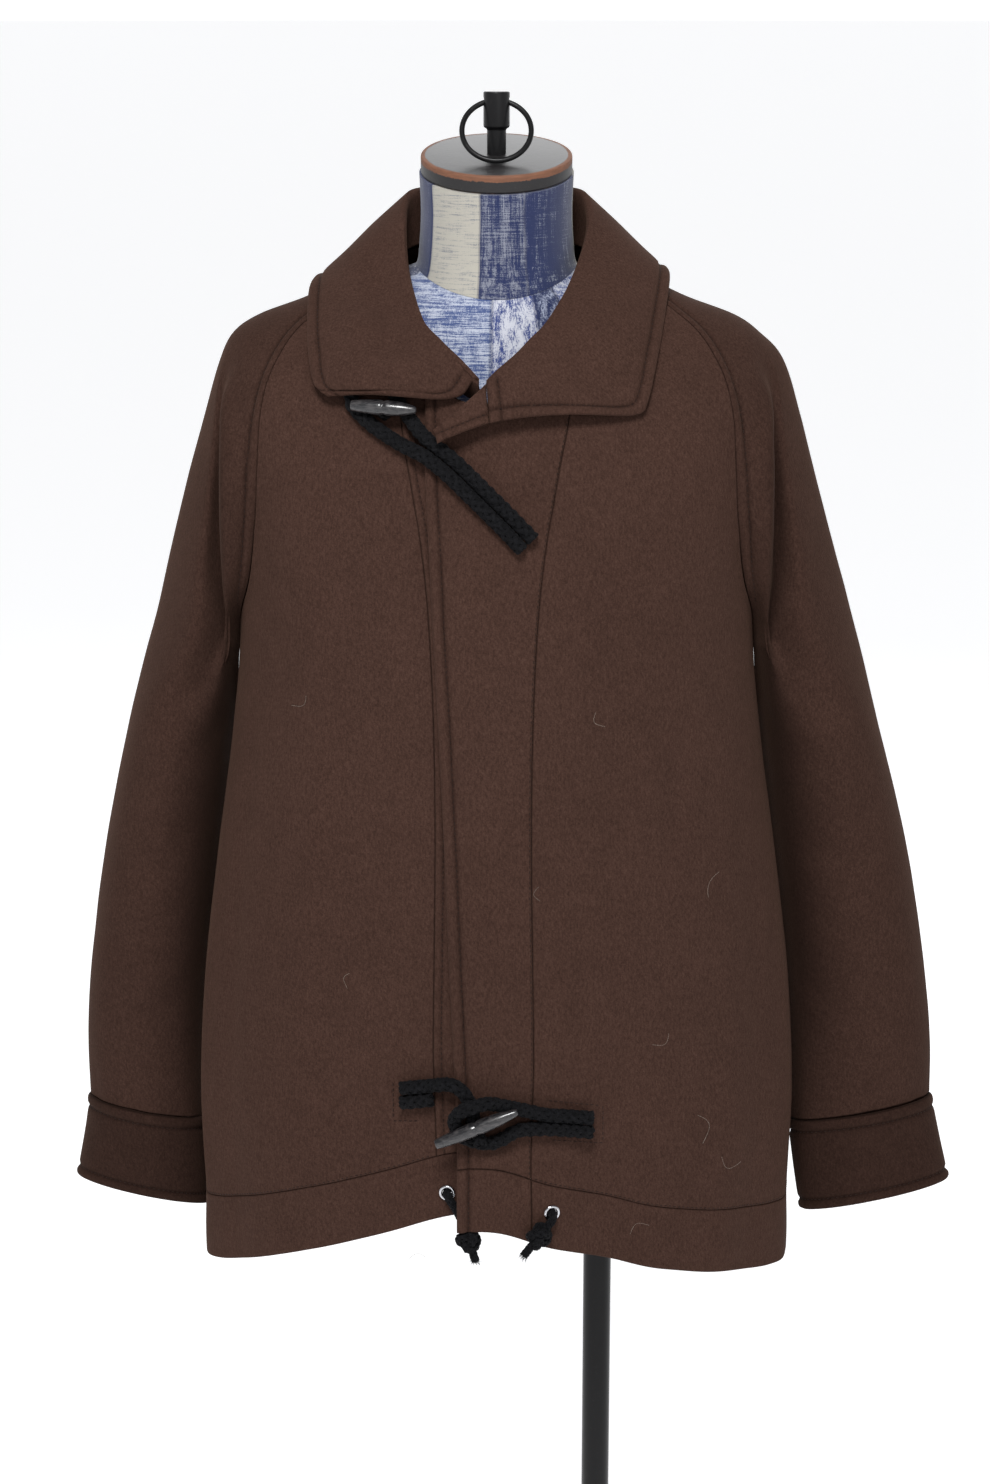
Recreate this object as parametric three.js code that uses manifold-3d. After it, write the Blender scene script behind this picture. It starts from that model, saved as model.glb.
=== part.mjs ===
// A short duffle coat of thick brown melton, closed and hanging on a limbless dress form.
// Millimetres, +Z up, origin on the floor under the neck. The coat's front faces -Y, and
// +X is the wearer's left.
import * as THREE from 'three';
import { mergeVertices } from 'three/addons/utils/BufferGeometryUtils.js';
import Module from 'manifold-3d';

const wasm = await Module();
wasm.setup();

// ---- driving dimensions ----
const clothThick = 2.5;       // one layer of melton
const doubleThick = 4.6;      // two layers: hem casing, placket and cuffs
const collarThick = 3;
const seamInset = 0.2;        // each piece stops this far short of its seam line
const frontLift = 6;          // the closed left front lies this far above the right one
const liftFade = 70;          // and comes down to the body over this width past its seam
const hemFlare = 6.2;         // and this much more at the hem, where the drawcord passes under it
const hemBulge = 0.6;         // the casing is this much fuller between its seam and edge
const underEdge = 14;         // hidden free edge of the right front
const capRadius = 55.8;
const capThick = 13;
const capTilt = 13;           // degrees, the cap leans to the front
const capCentre = 1488.3;     // height of the cap's underside on the neck axis
const postRadius = 9.7;
const postStem = 7;
const postTop = 1546;
const postStep = 1519;
const ringHinge = 1538.6;     // height of the cross hole that carries the ring
const ringRadius = 25.3;
const ringWire = 2;
const ringLean = 35;          // degrees from hanging straight down, resting on the cap
const ringHole = 3.6;
const wireShift = 0.95;       // the wire's crown stands this far above the hinge axis
const poleX = 82;
const poleRadius = 11.2;
const torsoBottom = 738;
const plateThick = 8;
const baseRadius = 170;
const baseThick = 9;
const gap = 0.3;
const ropeRadius = 4.7;
const drawRadius = 3.2;
const knotWidth = 7.2;
const knotHalf = 8;
const drawTail = 10;          // free tail beyond the knot
const toggleRadius = 5.5;
const deg = Math.PI / 180;

// ---- colours ----
const material = {
  wool: new THREE.MeshStandardMaterial({ color: 0x3d2a22, roughness: 0.95 }),
  rope: new THREE.MeshStandardMaterial({ color: 0x15151b, roughness: 0.8 }),
  horn: new THREE.MeshStandardMaterial({ color: 0x2c2c30, roughness: 0.25 }),
  nickel: new THREE.MeshStandardMaterial({ color: 0xd8d8dc, roughness: 0.25, metalness: 1 }),
  denim: new THREE.MeshStandardMaterial({ color: 0x5d6a92, roughness: 0.9 }),
  blackMetal: new THREE.MeshStandardMaterial({ color: 0x1b1b1c, roughness: 0.45, metalness: 0.7 }),
  capWood: new THREE.MeshStandardMaterial({ color: 0x2a2522, roughness: 0.5 }),
};

// ---- sections of the coat's body, from the neckline down to the hem ----
// Each is a level ring bent in height: half width, depth to the front and the back, and
// its height at the side, the front and the back. seam and edge are the x of the left front's
// placket seam and free edge, and underSeam that of the right front's placket seam.
// frontRaglan and backRaglan are the angles of the sleeve seams, from the front and from
// the back.
const body = table(
  ['half', 'front', 'back', 'zSide', 'zFront', 'zBack', 'seam', 'edge', 'underSeam', 'frontRaglan',
    'backRaglan'], [
    [80, 108, 68, 1424, 1340, 1438, 48, -46, -48, 52, 34],
    [112, 113, 83, 1410, 1325, 1423, 52, -50, -68, 73, 56],
    [145, 120, 95, 1395, 1306, 1403, 50.5, -51, -69, 71, 60],
    [178, 127, 106, 1383, 1284, 1378, 45, -51, -65, 62.5, 58],
    [197, 132, 114, 1370, 1258, 1350, 40, -50, -60, 58.5, 57],
    [203, 137, 119, 1346, 1230, 1318, 35, -48.5, -55, 58.5, 58],
    [203, 141, 124, 1308, 1198, 1280, 31, -47, -51, 59.8, 60],
    [199, 145, 128, 1254, 1158, 1235, 28, -45, -48, 64, 64],
    [196, 148, 131, 1194, 1112, 1185, 26, -42.5, -46, 72, 72],
    [197, 150, 134, 1130, 1060, 1128, 25, -40, -45, 90, 90],
    [205, 152, 138, 1055, 1000, 1058, 25, -37.5, -45, 90, 90],
    [218, 154, 143, 965, 928, 972, 26, -35, -46, 90, 90],
    [230, 156, 149, 870, 855, 884, 27, -32, -47, 90, 90],
    [236, 158, 153, 775, 808, 790, 26, -30, -46, 90, 90],
    [234, 160, 155, 688, 765, 694, 25, -29, -45, 90, 90],
    [235, 160, 155, 634, 714, 641, 26, -29, -46, 90, 90],
  ]);
const underarm = 9;
const hemSeam = 14;
const hemEdge = 15;
const flareFrom = 13.4;
const flareSpan = 0.8;
// How far the hem hangs above its level line, every 10 degrees from 10 past the middle to the
// side: the closed left front sags, and the right one is hitched up under it.
const hemHang = {
  left: [4, 3.5, -8.5, -15.5, -20, -17.5, -12.5, -8.5, -4.5, -1.5, 0],
  right: [17, 17, 12.5, 4.5, 0.5, 0, 0, 0, 0, 0, 0],
};
const hangFrom = 11;          // section where the hem's unevenness starts
const placketTop = 0.75;      // both plackets end under the collar's front
const bodyRows = [0, ...steps(placketTop, underarm, 9), ...steps(underarm, hemSeam, 7).slice(1)];
const hemRows = steps(hemSeam, hemEdge, 2);

// ---- sections of a sleeve below the shoulder ----
// The open rows run from the front raglan seam round to the back one, past a soft ridge
// and the hollow behind it. at is the body section whose seams the row starts from.
const openColumns = ['at', 'outX', 'outY', 'outZ', 'ridgeX', 'ridgeY', 'hollowX', 'hollowY',
  'bellyX', 'bellyY', 'backHollow', 'backBelly'];
const closedColumns = ['x', 'y', 'z', 'half', 'depth', 'tilt', 'pitch'];
const sleeves = {
  left: {
    side: 1,
    open: table(openColumns, [
      [5, 215, 2, 1350, 199, -52, 203, -33, 209, -22, 43, 34],
      [6, 229, 6, 1309, 202, -66, 204, -36, 214, -32, 55, 48],
      [7, 244, 12, 1256, 203, -68, 207, -30, 222, -35, 58, 60],
      [8, 260, 18, 1202, 203, -58, 210, -27, 231, -37, 60, 70],
      [9, 276, 24, 1150, 205, -34, 216, -27, 244, -39, 62, 78],
    ]),
    closed: table(closedColumns, [
      [250.8, 28, 1060, 45.8, 66, 13, 4],
      [271.4, 32, 954, 53.1, 59.5, 12, 6],
      [285.8, 34, 857, 56.3, 53, 12, 9],
      [292.2, 34, 785, 58.4, 47, 11, 11],
      [293.8, 34, 739, 58.5, 43.5, 11, 12],
    ]),
    cuff: table(closedColumns, [
      [295.6, 33, 738, 58.1, 45, 11, 12],
      [297.6, 31, 727, 58.5, 44.5, 11, 12],
      [302.6, 27, 698, 59.5, 41.5, 12, 13],
      [308.4, 22, 666, 60.5, 38.5, 13, 14],
    ]),
  },
  right: {
    side: -1,
    open: table(openColumns, [
      [5, 208, 2, 1348, 199, -50, 202, -33, 206, -22, 43, 34],
      [6, 220, 7, 1309, 202, -64, 203, -36, 211, -32, 55, 48],
      [7, 236, 14, 1256, 203, -67, 206, -30, 217, -35, 58, 62],
      [8, 251, 20, 1202, 203, -58, 208, -27, 225, -38, 60, 72],
      [9, 265, 26, 1148, 204, -34, 213, -27, 236, -42, 62, 80],
    ]),
    closed: table(closedColumns, [
      [245.7, 32, 1060, 40.7, 70, 13, 4],
      [263.8, 35, 954, 46, 63.4, 12, 6],
      [276.9, 37, 857, 47.7, 57, 12, 9],
      [281.8, 38, 785, 48.6, 51, 11, 11],
      [282.2, 38, 739, 48.3, 47.5, 11, 12],
    ]),
    cuff: table(closedColumns, [
      [283, 38, 738, 49.2, 49, 11, 12],
      [283.6, 37, 727, 49.8, 48.5, 11, 12],
      [285.8, 35, 698, 52.2, 45.5, 12, 13],
      [288.4, 33, 666, 55.2, 42.5, 13, 14],
    ]),
  },
};

// ---- rows of the collar, from the wearer's left front round the neck to the right front ----
// at is the neckline angle of the row's foot, drop and inset how far the foot reaches down and
// in behind the front, roll the point on the fold, edge the point on the outer edge, lift how
// far the leaf stands out between the two, and rise how much of that is upwards.
const collarRows = table(
  ['at', 'drop', 'inset', 'rollX', 'rollY', 'rollZ', 'edgeX', 'edgeY', 'edgeZ', 'lift', 'rise'], [
    [-5, 12, 6.2, -8, -124, 1351, -5, -138, 1323, 1, 0.6],
    [2, 12, 6.2, 1, -120, 1359, 24, -135, 1327, 3, 0.6],
    [13, 11, 6.2, 14, -112, 1369, 62, -128, 1328, 4, 0.6],
    [24, 9, 6.2, 26, -102, 1380, 100, -110, 1325, 5, 0.6],
    [30, 8, 6.2, 32, -96, 1385, 109, -103, 1333, 5, 0.6],
    [38, 6, 6.2, 40, -85, 1394, 117, -79, 1362, 6, 0.6],
    [52, 3, 6.2, 52, -61, 1411, 124, -46, 1391, 7, 0.6],
    [70, 1, 6.2, 63, -31, 1432, 129, -10, 1413, 8, 0.6],
    [87, 0, 6.2, 69, -2, 1453, 127, 26, 1413, 8, 0.6],
    [112, 0, 6.2, 66, 28, 1470, 117, 70, 1402, 7, 0.6],
    [138, 0, 6.2, 48, 54, 1473, 86, 101, 1389, 6, 0.6],
    [160, 0, 6.2, 22, 69, 1475, 43, 116, 1381, 6, 0.6],
    [180, 0, 6.2, 0, 73, 1476, 0, 121, 1378, 6, 0.6],
    [200, 0, 6.2, -22, 69, 1475, -43, 116, 1381, 6, 0.6],
    [222, 0, 6.2, -48, 54, 1473, -87, 101, 1389, 6, 0.6],
    [248, 0, 6.2, -66, 28, 1470, -120, 70, 1400, 7, 0.6],
    [273, 0, 6.2, -69, -4, 1453, -135, 26, 1407, 8, 0.6],
    [292, 2, 7.2, -66, -40, 1422, -139, -10, 1406, 8, 0.6],
    [315, 5, 9.6, -55, -80, 1392, -139, -44, 1390, 7, 0.6],
    [327, 8, 10.4, -40, -99, 1377, -137, -76, 1368, 10, 0.4],
    [338, 12, 9, -26, -110, 1365, -132, -95, 1345, 20, 0],
    [353, 12, 6.2, -12, -115, 1351, -122, -103, 1337, 27, 0],
  ]);
const endLeaf = [[-30, -121.5, 1339], [-76, -125, 1341.5]];   // hem of the collar's right end
const lapelCorners = {
  topInner: [-7.6, -128.6, 1350], topOuter: [-45, -140, 1319],
  lowInner: [-5.5, -138.6, 1323.5], lowOuter: [-42, -145, 1310],
};

// ---- sections of the dress form's torso, from the top of the neck down ----
const torso = table(['half', 'front', 'back', 'zSide', 'zFront', 'zBack', 'bend'], [
  [57, 56, 57, 1488, 1475, 1501, 1],
  [56, 56, 57, 1462, 1450, 1474, 1],
  [57, 58, 57, 1440, 1424, 1450, 1.2],
  [60, 65, 58, 1421, 1401, 1432, 1.6],
  [72, 69, 62, 1416, 1390, 1424, 2],
  [105, 77, 75, 1403, 1366, 1410, 2],
  [140, 88, 87, 1387, 1338, 1388, 2],
  [171, 104, 98, 1374, 1306, 1362, 2],
  [189, 115, 106, 1357, 1270, 1330, 2],
  [193, 122, 111, 1322, 1232, 1292, 2],
  [188, 125, 113, 1268, 1180, 1242, 2],
  [177, 122, 111, 1192, 1118, 1178, 2],
  [163, 116, 107, 1105, 1048, 1098, 2],
  [152, 110, 104, 1010, 980, 1010, 2],
  [160, 114, 112, 930, 925, 930, 2],
  [170, 118, 121, 850, 850, 850, 2],
  [172, 118, 123, 790, 790, 790, 2],
  [167, 113, 118, 752, 752, 752, 2],
  [154, 101, 106, torsoBottom, torsoBottom, torsoBottom, 2],
]);
const neckBase = 3;

// ---- small tools ----
function table(columns, rows) {
  return rows.map((row) => Object.fromEntries(columns.map((name, k) => [name, row[k]])));
}

function steps(from, to, count) {
  return Array.from({ length: count + 1 }, (_, k) => from + ((to - from) * k) / count);
}

function mix(a, b, t) {
  return a + (b - a) * t;
}

function smooth(t) {
  const c = Math.min(1, Math.max(0, t));
  return c * c * (3 - 2 * c);
}

// Value at t of the curve that passes through evenly spaced values.
function through(values, t) {
  const last = values.length - 1;
  const i = Math.min(last - 1, Math.max(0, Math.floor(t)));
  const f = t - i;
  const b = values[i];
  const c = values[i + 1];
  const a = i > 0 ? values[i - 1] : 2 * b - c;
  const d = i + 2 <= last ? values[i + 2] : 2 * c - b;
  return 0.5 * (2 * b + (c - a) * f + (2 * a - 5 * b + 4 * c - d) * f * f
    + (3 * b - a - 3 * c + d) * f * f * f);
}

function column(rows, name, t) {
  return through(rows.map((row) => row[name]), t);
}

function pointThrough(points, t) {
  return [0, 1, 2].map((axis) => through(points.map((p) => p[axis]), t));
}

const toVector = (p) => new THREE.Vector3(...p);

// Point on a bent ring at an angle from the front, positive towards +X.
function onRing(rows, angle, v, out = 0) {
  const c = Math.cos(angle * deg);
  const s = Math.sin(angle * deg);
  const reach = column(rows, c > 0 ? 'front' : 'back', v);
  const zSide = column(rows, 'zSide', v);
  const zEnd = column(rows, c > 0 ? 'zFront' : 'zBack', v);
  const bend = 'bend' in rows[0] ? column(rows, 'bend', v) : 2;
  const z = mix(zSide, zEnd, Math.abs(c) ** bend);
  const p = new THREE.Vector3(column(rows, 'half', v) * s, -reach * c, z);
  if (out) p.addScaledVector(ringNormal(rows, angle, v), out);
  return p;
}

function ringNormal(rows, angle, v) {
  const last = rows.length - 1;
  const low = Math.min(last, v + 0.05);
  const high = Math.max(0, v - 0.05);
  const around = onRing(rows, angle + 0.5, v).sub(onRing(rows, angle - 0.5, v));
  const down = onRing(rows, angle, low).sub(onRing(rows, angle, high));
  return down.cross(around).normalize();
}

function angleAt(x, v) {
  return Math.asin(x / column(body, 'half', v)) / deg;
}

// How far the left front stands off the body at a given x.
function leftLift(x, v) {
  const edgeLift = frontLift + hemFlare * smooth((v - flareFrom) / flareSpan);
  return edgeLift * (1 - smooth((x - column(body, 'seam', v)) / liftFade));
}

// How far a front's cloth is shifted in height towards its uneven hem.
function hang(side, angle, v) {
  if (v <= hangFrom || !side) return 0;
  const past = side === 'left' ? angle : -angle;
  return through(hemHang[side], past / 10 + 1) * smooth((v - hangFrom) / (hemSeam - hangFrom));
}

const sideAt = (x) => (x > -29 ? 'left' : 'right');

// Section of the body's front at a given x and height.
function sectionAt(x, z) {
  let low = 0;
  let high = hemEdge;
  for (let k = 0; k < 40; k += 1) {
    const middle = (low + high) / 2;
    const angle = angleAt(x, middle);
    if (onRing(body, angle, middle).z + hang(sideAt(x), angle, middle) > z) low = middle;
    else high = middle;
  }
  return low;
}

// Point in front of the body at a given x and height, lifted off its surface. Below the hem
// the surface goes straight on down.
function frontPoint(x, z, lift) {
  const v = sectionAt(x, z);
  const angle = angleAt(x, v);
  const p = onRing(body, angle, v, lift);
  p.z += hang(sideAt(x), angle, v);
  if (v > hemEdge - 0.001) p.z = z;
  return p;
}

function liftedPoint(x, z, lift) {
  return frontPoint(x, z, lift(x, sectionAt(x, z)));
}

// Outward normals of a grid of points; a closed row's ends look past the seam.
function gridNormals(grid, closedRow) {
  return grid.map((row, i) => row.map((point, j) => {
    const last = row.length - 1;
    const up = grid[Math.max(0, i - 1)][j];
    const down = grid[Math.min(grid.length - 1, i + 1)][j];
    const before = j > 0 ? row[j - 1] : (closedRow(i) ? row[last - 1] : row[j]);
    const after = j < last ? row[j + 1] : (closedRow(i) ? row[1] : row[j]);
    return down.clone().sub(up).cross(after.clone().sub(before)).normalize();
  }));
}

// Draws the outline of a grid back from its seams.
function insetGrid(grid) {
  const lastRow = grid.length - 1;
  const lastColumn = grid[0].length - 1;
  const pull = (i, j, a, b) => grid[a][b].clone().sub(grid[i][j]).setLength(seamInset);
  return grid.map((row, i) => row.map((point, j) => {
    const moved = point.clone();
    if (i === 0) moved.add(pull(i, j, 1, j));
    if (i === lastRow) moved.add(pull(i, j, lastRow - 1, j));
    if (j === 0) moved.add(pull(i, j, i, 1));
    if (j === lastColumn) moved.add(pull(i, j, i, lastColumn - 1));
    return moved;
  }));
}

// Closed wall between a grid of points, rows downwards and columns to the left as seen
// from outside, and the same grid moved in by the thickness.
function wall(grid, normals, thick) {
  const rows = grid.length;
  const columns = grid[0].length;
  const positions = [];
  const outside = (i, j) => i * columns + j;
  const inside = (i, j) => rows * columns + outside(i, j);
  grid.forEach((row) => row.forEach((p) => positions.push(p.x, p.y, p.z)));
  grid.forEach((row, i) => row.forEach((p, j) => {
    const q = p.clone().addScaledVector(normals[i][j], -thick);
    positions.push(q.x, q.y, q.z);
  }));
  const index = [];
  const quad = (a, b, c, d) => index.push(a, b, c, a, c, d);
  for (let i = 0; i < rows - 1; i += 1) {
    for (let j = 0; j < columns - 1; j += 1) {
      quad(outside(i, j), outside(i + 1, j), outside(i + 1, j + 1), outside(i, j + 1));
      quad(inside(i, j), inside(i, j + 1), inside(i + 1, j + 1), inside(i + 1, j));
    }
  }
  for (let i = 0; i < rows - 1; i += 1) {
    const e = columns - 1;
    quad(outside(i, 0), inside(i, 0), inside(i + 1, 0), outside(i + 1, 0));
    quad(outside(i, e), outside(i + 1, e), inside(i + 1, e), inside(i, e));
  }
  for (let j = 0; j < columns - 1; j += 1) {
    const e = rows - 1;
    quad(outside(0, j), outside(0, j + 1), inside(0, j + 1), inside(0, j));
    quad(outside(e, j), inside(e, j), inside(e, j + 1), outside(e, j + 1));
  }
  const geometry = new THREE.BufferGeometry();
  geometry.setAttribute('position', new THREE.Float32BufferAttribute(positions, 3));
  geometry.setIndex(index);
  return geometry;
}

function toManifold(geometry) {
  const bare = geometry.clone();
  bare.deleteAttribute('normal');
  bare.deleteAttribute('uv');
  const merged = mergeVertices(bare, 1e-3);
  const indices = merged.index.array;
  const kept = [];
  for (let k = 0; k < indices.length; k += 3) {
    const [a, b, c] = [indices[k], indices[k + 1], indices[k + 2]];
    if (a !== b && b !== c && a !== c) kept.push(a, b, c);
  }
  return new wasm.Manifold(new wasm.Mesh({
    numProp: 3,
    vertProperties: new Float32Array(merged.attributes.position.array),
    triVerts: new Uint32Array(kept),
  }));
}

function toGeometry(solid) {
  const mesh = solid.getMesh();
  const geometry = new THREE.BufferGeometry();
  geometry.setAttribute('position', new THREE.BufferAttribute(mesh.vertProperties, 3));
  geometry.setIndex(new THREE.BufferAttribute(mesh.triVerts, 1));
  return geometry;
}

function cut(geometry, ...tools) {
  const cutBy = (left, tool) => left.subtract(toManifold(tool));
  return toGeometry(tools.reduce(cutBy, toManifold(geometry)));
}

const model = new THREE.Group();
function add(name, geometry, finish) {
  const mesh = new THREE.Mesh(geometry, finish);
  mesh.name = name;
  model.add(mesh);
  return mesh;
}

// ---- body panels ----
// A panel across one or more spans, each between two seam angles that vary by section.
function bodyPanel(rows, spans, thick, outOf, side) {
  const angles = (v) => spans.flatMap(({ from, to, columns }, k) => (
    steps(from(v), to(v), columns).slice(k ? 1 : 0)));
  const grid = rows.map((v) => angles(v).map((a) => {
    const p = onRing(body, a, v, outOf(onRing(body, a, v).x, v));
    p.z += hang(side, a, v);
    return p;
  }));
  const normals = rows.map((v) => angles(v).map((a) => ringNormal(body, a, v)));
  return wall(insetGrid(grid), normals, thick);
}

const bulge = (v) => (v > hemSeam ? hemBulge * Math.sin((v - hemSeam) * Math.PI) : 0);
const leftSeam = (v) => angleAt(column(body, 'seam', v), v);
const leftEdge = (v) => angleAt(column(body, 'edge', v), v);
const rightSeam = (v) => angleAt(column(body, 'underSeam', v), v);
const rightEdge = (v) => angleAt(underEdge, v);
const raglanFront = (v) => column(body, 'frontRaglan', Math.min(v, underarm));
const raglanBack = (v) => 180 - column(body, 'backRaglan', Math.min(v, underarm));
const onBody = (x, v) => bulge(v);
const onLeft = (x, v) => leftLift(x, v) + bulge(v);
const span = {
  right: { from: (v) => -raglanFront(v), to: rightSeam, columns: 7 },
  rightPlacket: { from: rightSeam, to: rightEdge, columns: 3 },
  leftPlacket: { from: leftEdge, to: leftSeam, columns: 3 },
  left: { from: leftSeam, to: raglanFront, columns: 8 },
  back: { from: raglanBack, to: (v) => 360 - raglanBack(v), columns: 14 },
};

function buildBody() {
  const overRows = bodyRows.slice(1);
  const panels = [
    ['front_right', bodyRows, [span.right], clothThick, onBody, 'right'],
    ['placket_right', overRows, [span.rightPlacket], clothThick, onBody, 'right'],
    ['placket_left', overRows, [span.leftPlacket], doubleThick, onLeft, 'left'],
    ['front_left', bodyRows, [span.left], clothThick, onLeft, 'left'],
    ['back', bodyRows, [span.back], clothThick, onBody],
    ['hem_band_placket', hemRows, [span.leftPlacket], doubleThick, onLeft, 'left'],
    ['hem_band_back', hemRows, [span.back], doubleThick, onBody],
  ];
  panels.forEach(([name, ...panel]) => add(name, bodyPanel(...panel), material.wool));
  const bandRight = bodyPanel(hemRows, [span.right, span.rightPlacket], doubleThick, onBody, 'right');
  const bandLeft = bodyPanel(hemRows, [span.left], doubleThick, onLeft, 'left');
  add('hem_band_right', cut(bandRight, ...eyeletRoom(eyelets.right)), material.wool);
  add('hem_band_left', cut(bandLeft, ...eyeletRoom(eyelets.left)), material.wool);
}

// ---- eyelets of the drawcord, pressed into the hem band ----
const eyeletBore = 3.6;
const eyeletBarrel = 4.4;
const eyeletFlange = 6.2;
const eyeletFront = 0.5;      // seats of the two flanges, from the band's outer face
const eyeletBack = -5.2;
const eyelets = {
  right: { x: -37, z: 745.5, lift: () => hemBulge },
  left: { x: 40, z: 733.8, lift: (x, v) => leftLift(x, v) + hemBulge },
};

// Middle and outward direction of a lifted surface at a given x and height.
function facing({ x, z, lift }) {
  const centre = liftedPoint(x, z, lift);
  const across = liftedPoint(x + 2, z, lift).sub(centre);
  const up = liftedPoint(x, z + 2, lift).sub(centre);
  return { centre, normal: across.cross(up).normalize() };
}

function placeAlong(geometry, centre, normal) {
  const turn = new THREE.Quaternion().setFromUnitVectors(new THREE.Vector3(0, 1, 0), normal);
  return geometry.applyQuaternion(turn).translate(centre.x, centre.y, centre.z);
}

// The hole for an eyelet's barrel and the flat seats of its two flanges.
function eyeletRoom(eyelet) {
  const { centre, normal } = facing(eyelet);
  const reach = 12;
  const disc = (radius, middle, length) => {
    const shape = new THREE.CylinderGeometry(radius + gap, radius + gap, length, 16);
    return placeAlong(shape.translate(0, middle, 0), centre, normal);
  };
  return [
    disc(eyeletBarrel, 0, 3 * reach),
    disc(eyeletFlange, eyeletFront - gap + reach / 2, reach),
    disc(eyeletFlange, eyeletBack + gap - reach / 2, reach),
  ];
}

function buildEyelet(name, eyelet) {
  const { centre, normal } = facing(eyelet);
  const crown = eyeletFront + 1.1;
  const profile = [
    [eyeletBore, crown], [eyeletFlange - 0.8, crown], [eyeletFlange, eyeletFront],
    [eyeletBarrel, eyeletFront], [eyeletBarrel, eyeletBack], [eyeletFlange, eyeletBack],
    [eyeletFlange, eyeletBack - 0.7], [eyeletBore, eyeletBack - 0.7], [eyeletBore, crown],
  ].map(([r, h]) => new THREE.Vector2(r, h)).reverse();
  add(name, placeAlong(new THREE.LatheGeometry(profile, 16), centre, normal), material.nickel);
}

// ---- sleeves ----
const openRows = bodyRows.filter((v) => v <= underarm);
const closedRows = steps(0, 5, 10).slice(1);
const sleeveColumns = 20;
const turnFrom = 6;           // below this section the sleeve turns away from the body
const turnSpan = 2;
const heightShare = [0, 0.35, 0.5, 0.8, 1, 0.8, 0.5, 0.35, 0];

function ellipsePoint(row, side, angle) {
  const across = -Math.cos(angle * deg) * row.half;
  const deep = -Math.sin(angle * deg) * row.depth;
  const rise = across * Math.tan(row.tilt * deg) - deep * Math.tan(row.pitch * deg);
  return [side * (row.x + across), row.y + deep, row.z + rise];
}

// The nine guide points of each sleeve section, front seam first.
function sleeveNet({ side, open, closed }) {
  const net = [];
  for (let v = 0; v < 5; v += 1) {
    const from = raglanFront(v);
    const to = raglanBack(v);
    const angles = [0, 1, 2, 3, 4, 5, 6, 7, 8].map((k) => (
      k < 4 ? mix(from, 90, k / 4) : mix(90, to, (k - 4) / 4)));
    net.push(angles.map((a) => onRing(body, side * a, v).toArray()));
  }
  open.forEach((row) => {
    const start = onRing(body, raglanFront(row.at), row.at).toArray();
    const end = onRing(body, raglanBack(row.at), row.at).toArray();
    const planar = [
      start, [row.ridgeX, row.ridgeY], [row.hollowX, row.hollowY], [row.bellyX, row.bellyY],
      [row.outX, row.outY], [row.bellyX, row.backBelly], [row.hollowX, row.backHollow],
      [row.ridgeX, 6 - 0.92 * row.ridgeY], end,
    ];
    net.push(planar.map(([x, y], k) => {
      const foot = k < 4 ? start[2] : end[2];
      return [side * x, y, mix(foot, row.outZ, heightShare[k])];
    }));
  });
  closed.forEach((row) => {
    net.push(steps(0, 360, 8).map((a) => ellipsePoint(row, side, a)));
  });
  return net;
}

function netPoint(net, t, s) {
  return toVector(pointThrough(net.map((row) => pointThrough(row, s)), t));
}

function buildSleeve(name, sleeve) {
  const net = sleeveNet(sleeve);
  const rows = [...openRows, ...closedRows.map((t) => underarm + t)];
  const columns = steps(0, 8, sleeveColumns);
  const seamPoint = (v, s) => onRing(body, sleeve.side * (s === 0 ? raglanFront(v) : raglanBack(v)), v);
  let grid = rows.map((t) => columns.map((s) => {
    const onSeam = t <= underarm && (s === 0 || s === 8);
    return onSeam ? seamPoint(t, s) : netPoint(net, t, s);
  }));
  let normals = gridNormals(grid, (i) => rows[i] > underarm);
  if (sleeve.side < 0) normals = normals.map((row) => row.map((n) => n.clone().negate()));
  rows.forEach((t, i) => {
    const own = smooth((t - turnFrom) / turnSpan);
    const seamNormal = (angle) => ringNormal(body, sleeve.side * angle, Math.min(t, underarm));
    normals[i][0].lerp(seamNormal(raglanFront(t)), 1 - own).normalize();
    normals[i][sleeveColumns].lerp(seamNormal(raglanBack(t)), 1 - own).normalize();
  });
  grid = insetGrid(grid);
  if (sleeve.side < 0) {
    grid = grid.map((row) => [...row].reverse());
    normals = normals.map((row) => [...row].reverse());
  }
  add(name, wall(grid, normals, clothThick), material.wool);
}

function buildCuff(name, { side, cuff }) {
  const rows = steps(0, 3, 4);
  const sections = cuff.map((row) => steps(0, 360, 16).map((a) => ellipsePoint(row, side, a)));
  let grid = rows.map((t) => steps(0, 16, sleeveColumns).map((s) => netPoint(sections, t, s)));
  let normals = gridNormals(grid, () => true);
  if (side < 0) normals = normals.map((row) => row.map((n) => n.clone().negate()));
  grid = insetGrid(grid);
  if (side < 0) {
    grid = grid.map((row) => [...row].reverse());
    normals = normals.map((row) => [...row].reverse());
  }
  add(name, wall(grid, normals, doubleThick), material.wool);
}

// ---- collar and the turned-back corner of the left front ----
const standShare = 3.7;       // the stand leans in towards the neck by the foot's inset less this
const acrossSteps = [0, 0.55, 1, 1.5, 2, 2.5, 3, 3.7, 4.4, 5.2, 6];

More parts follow.
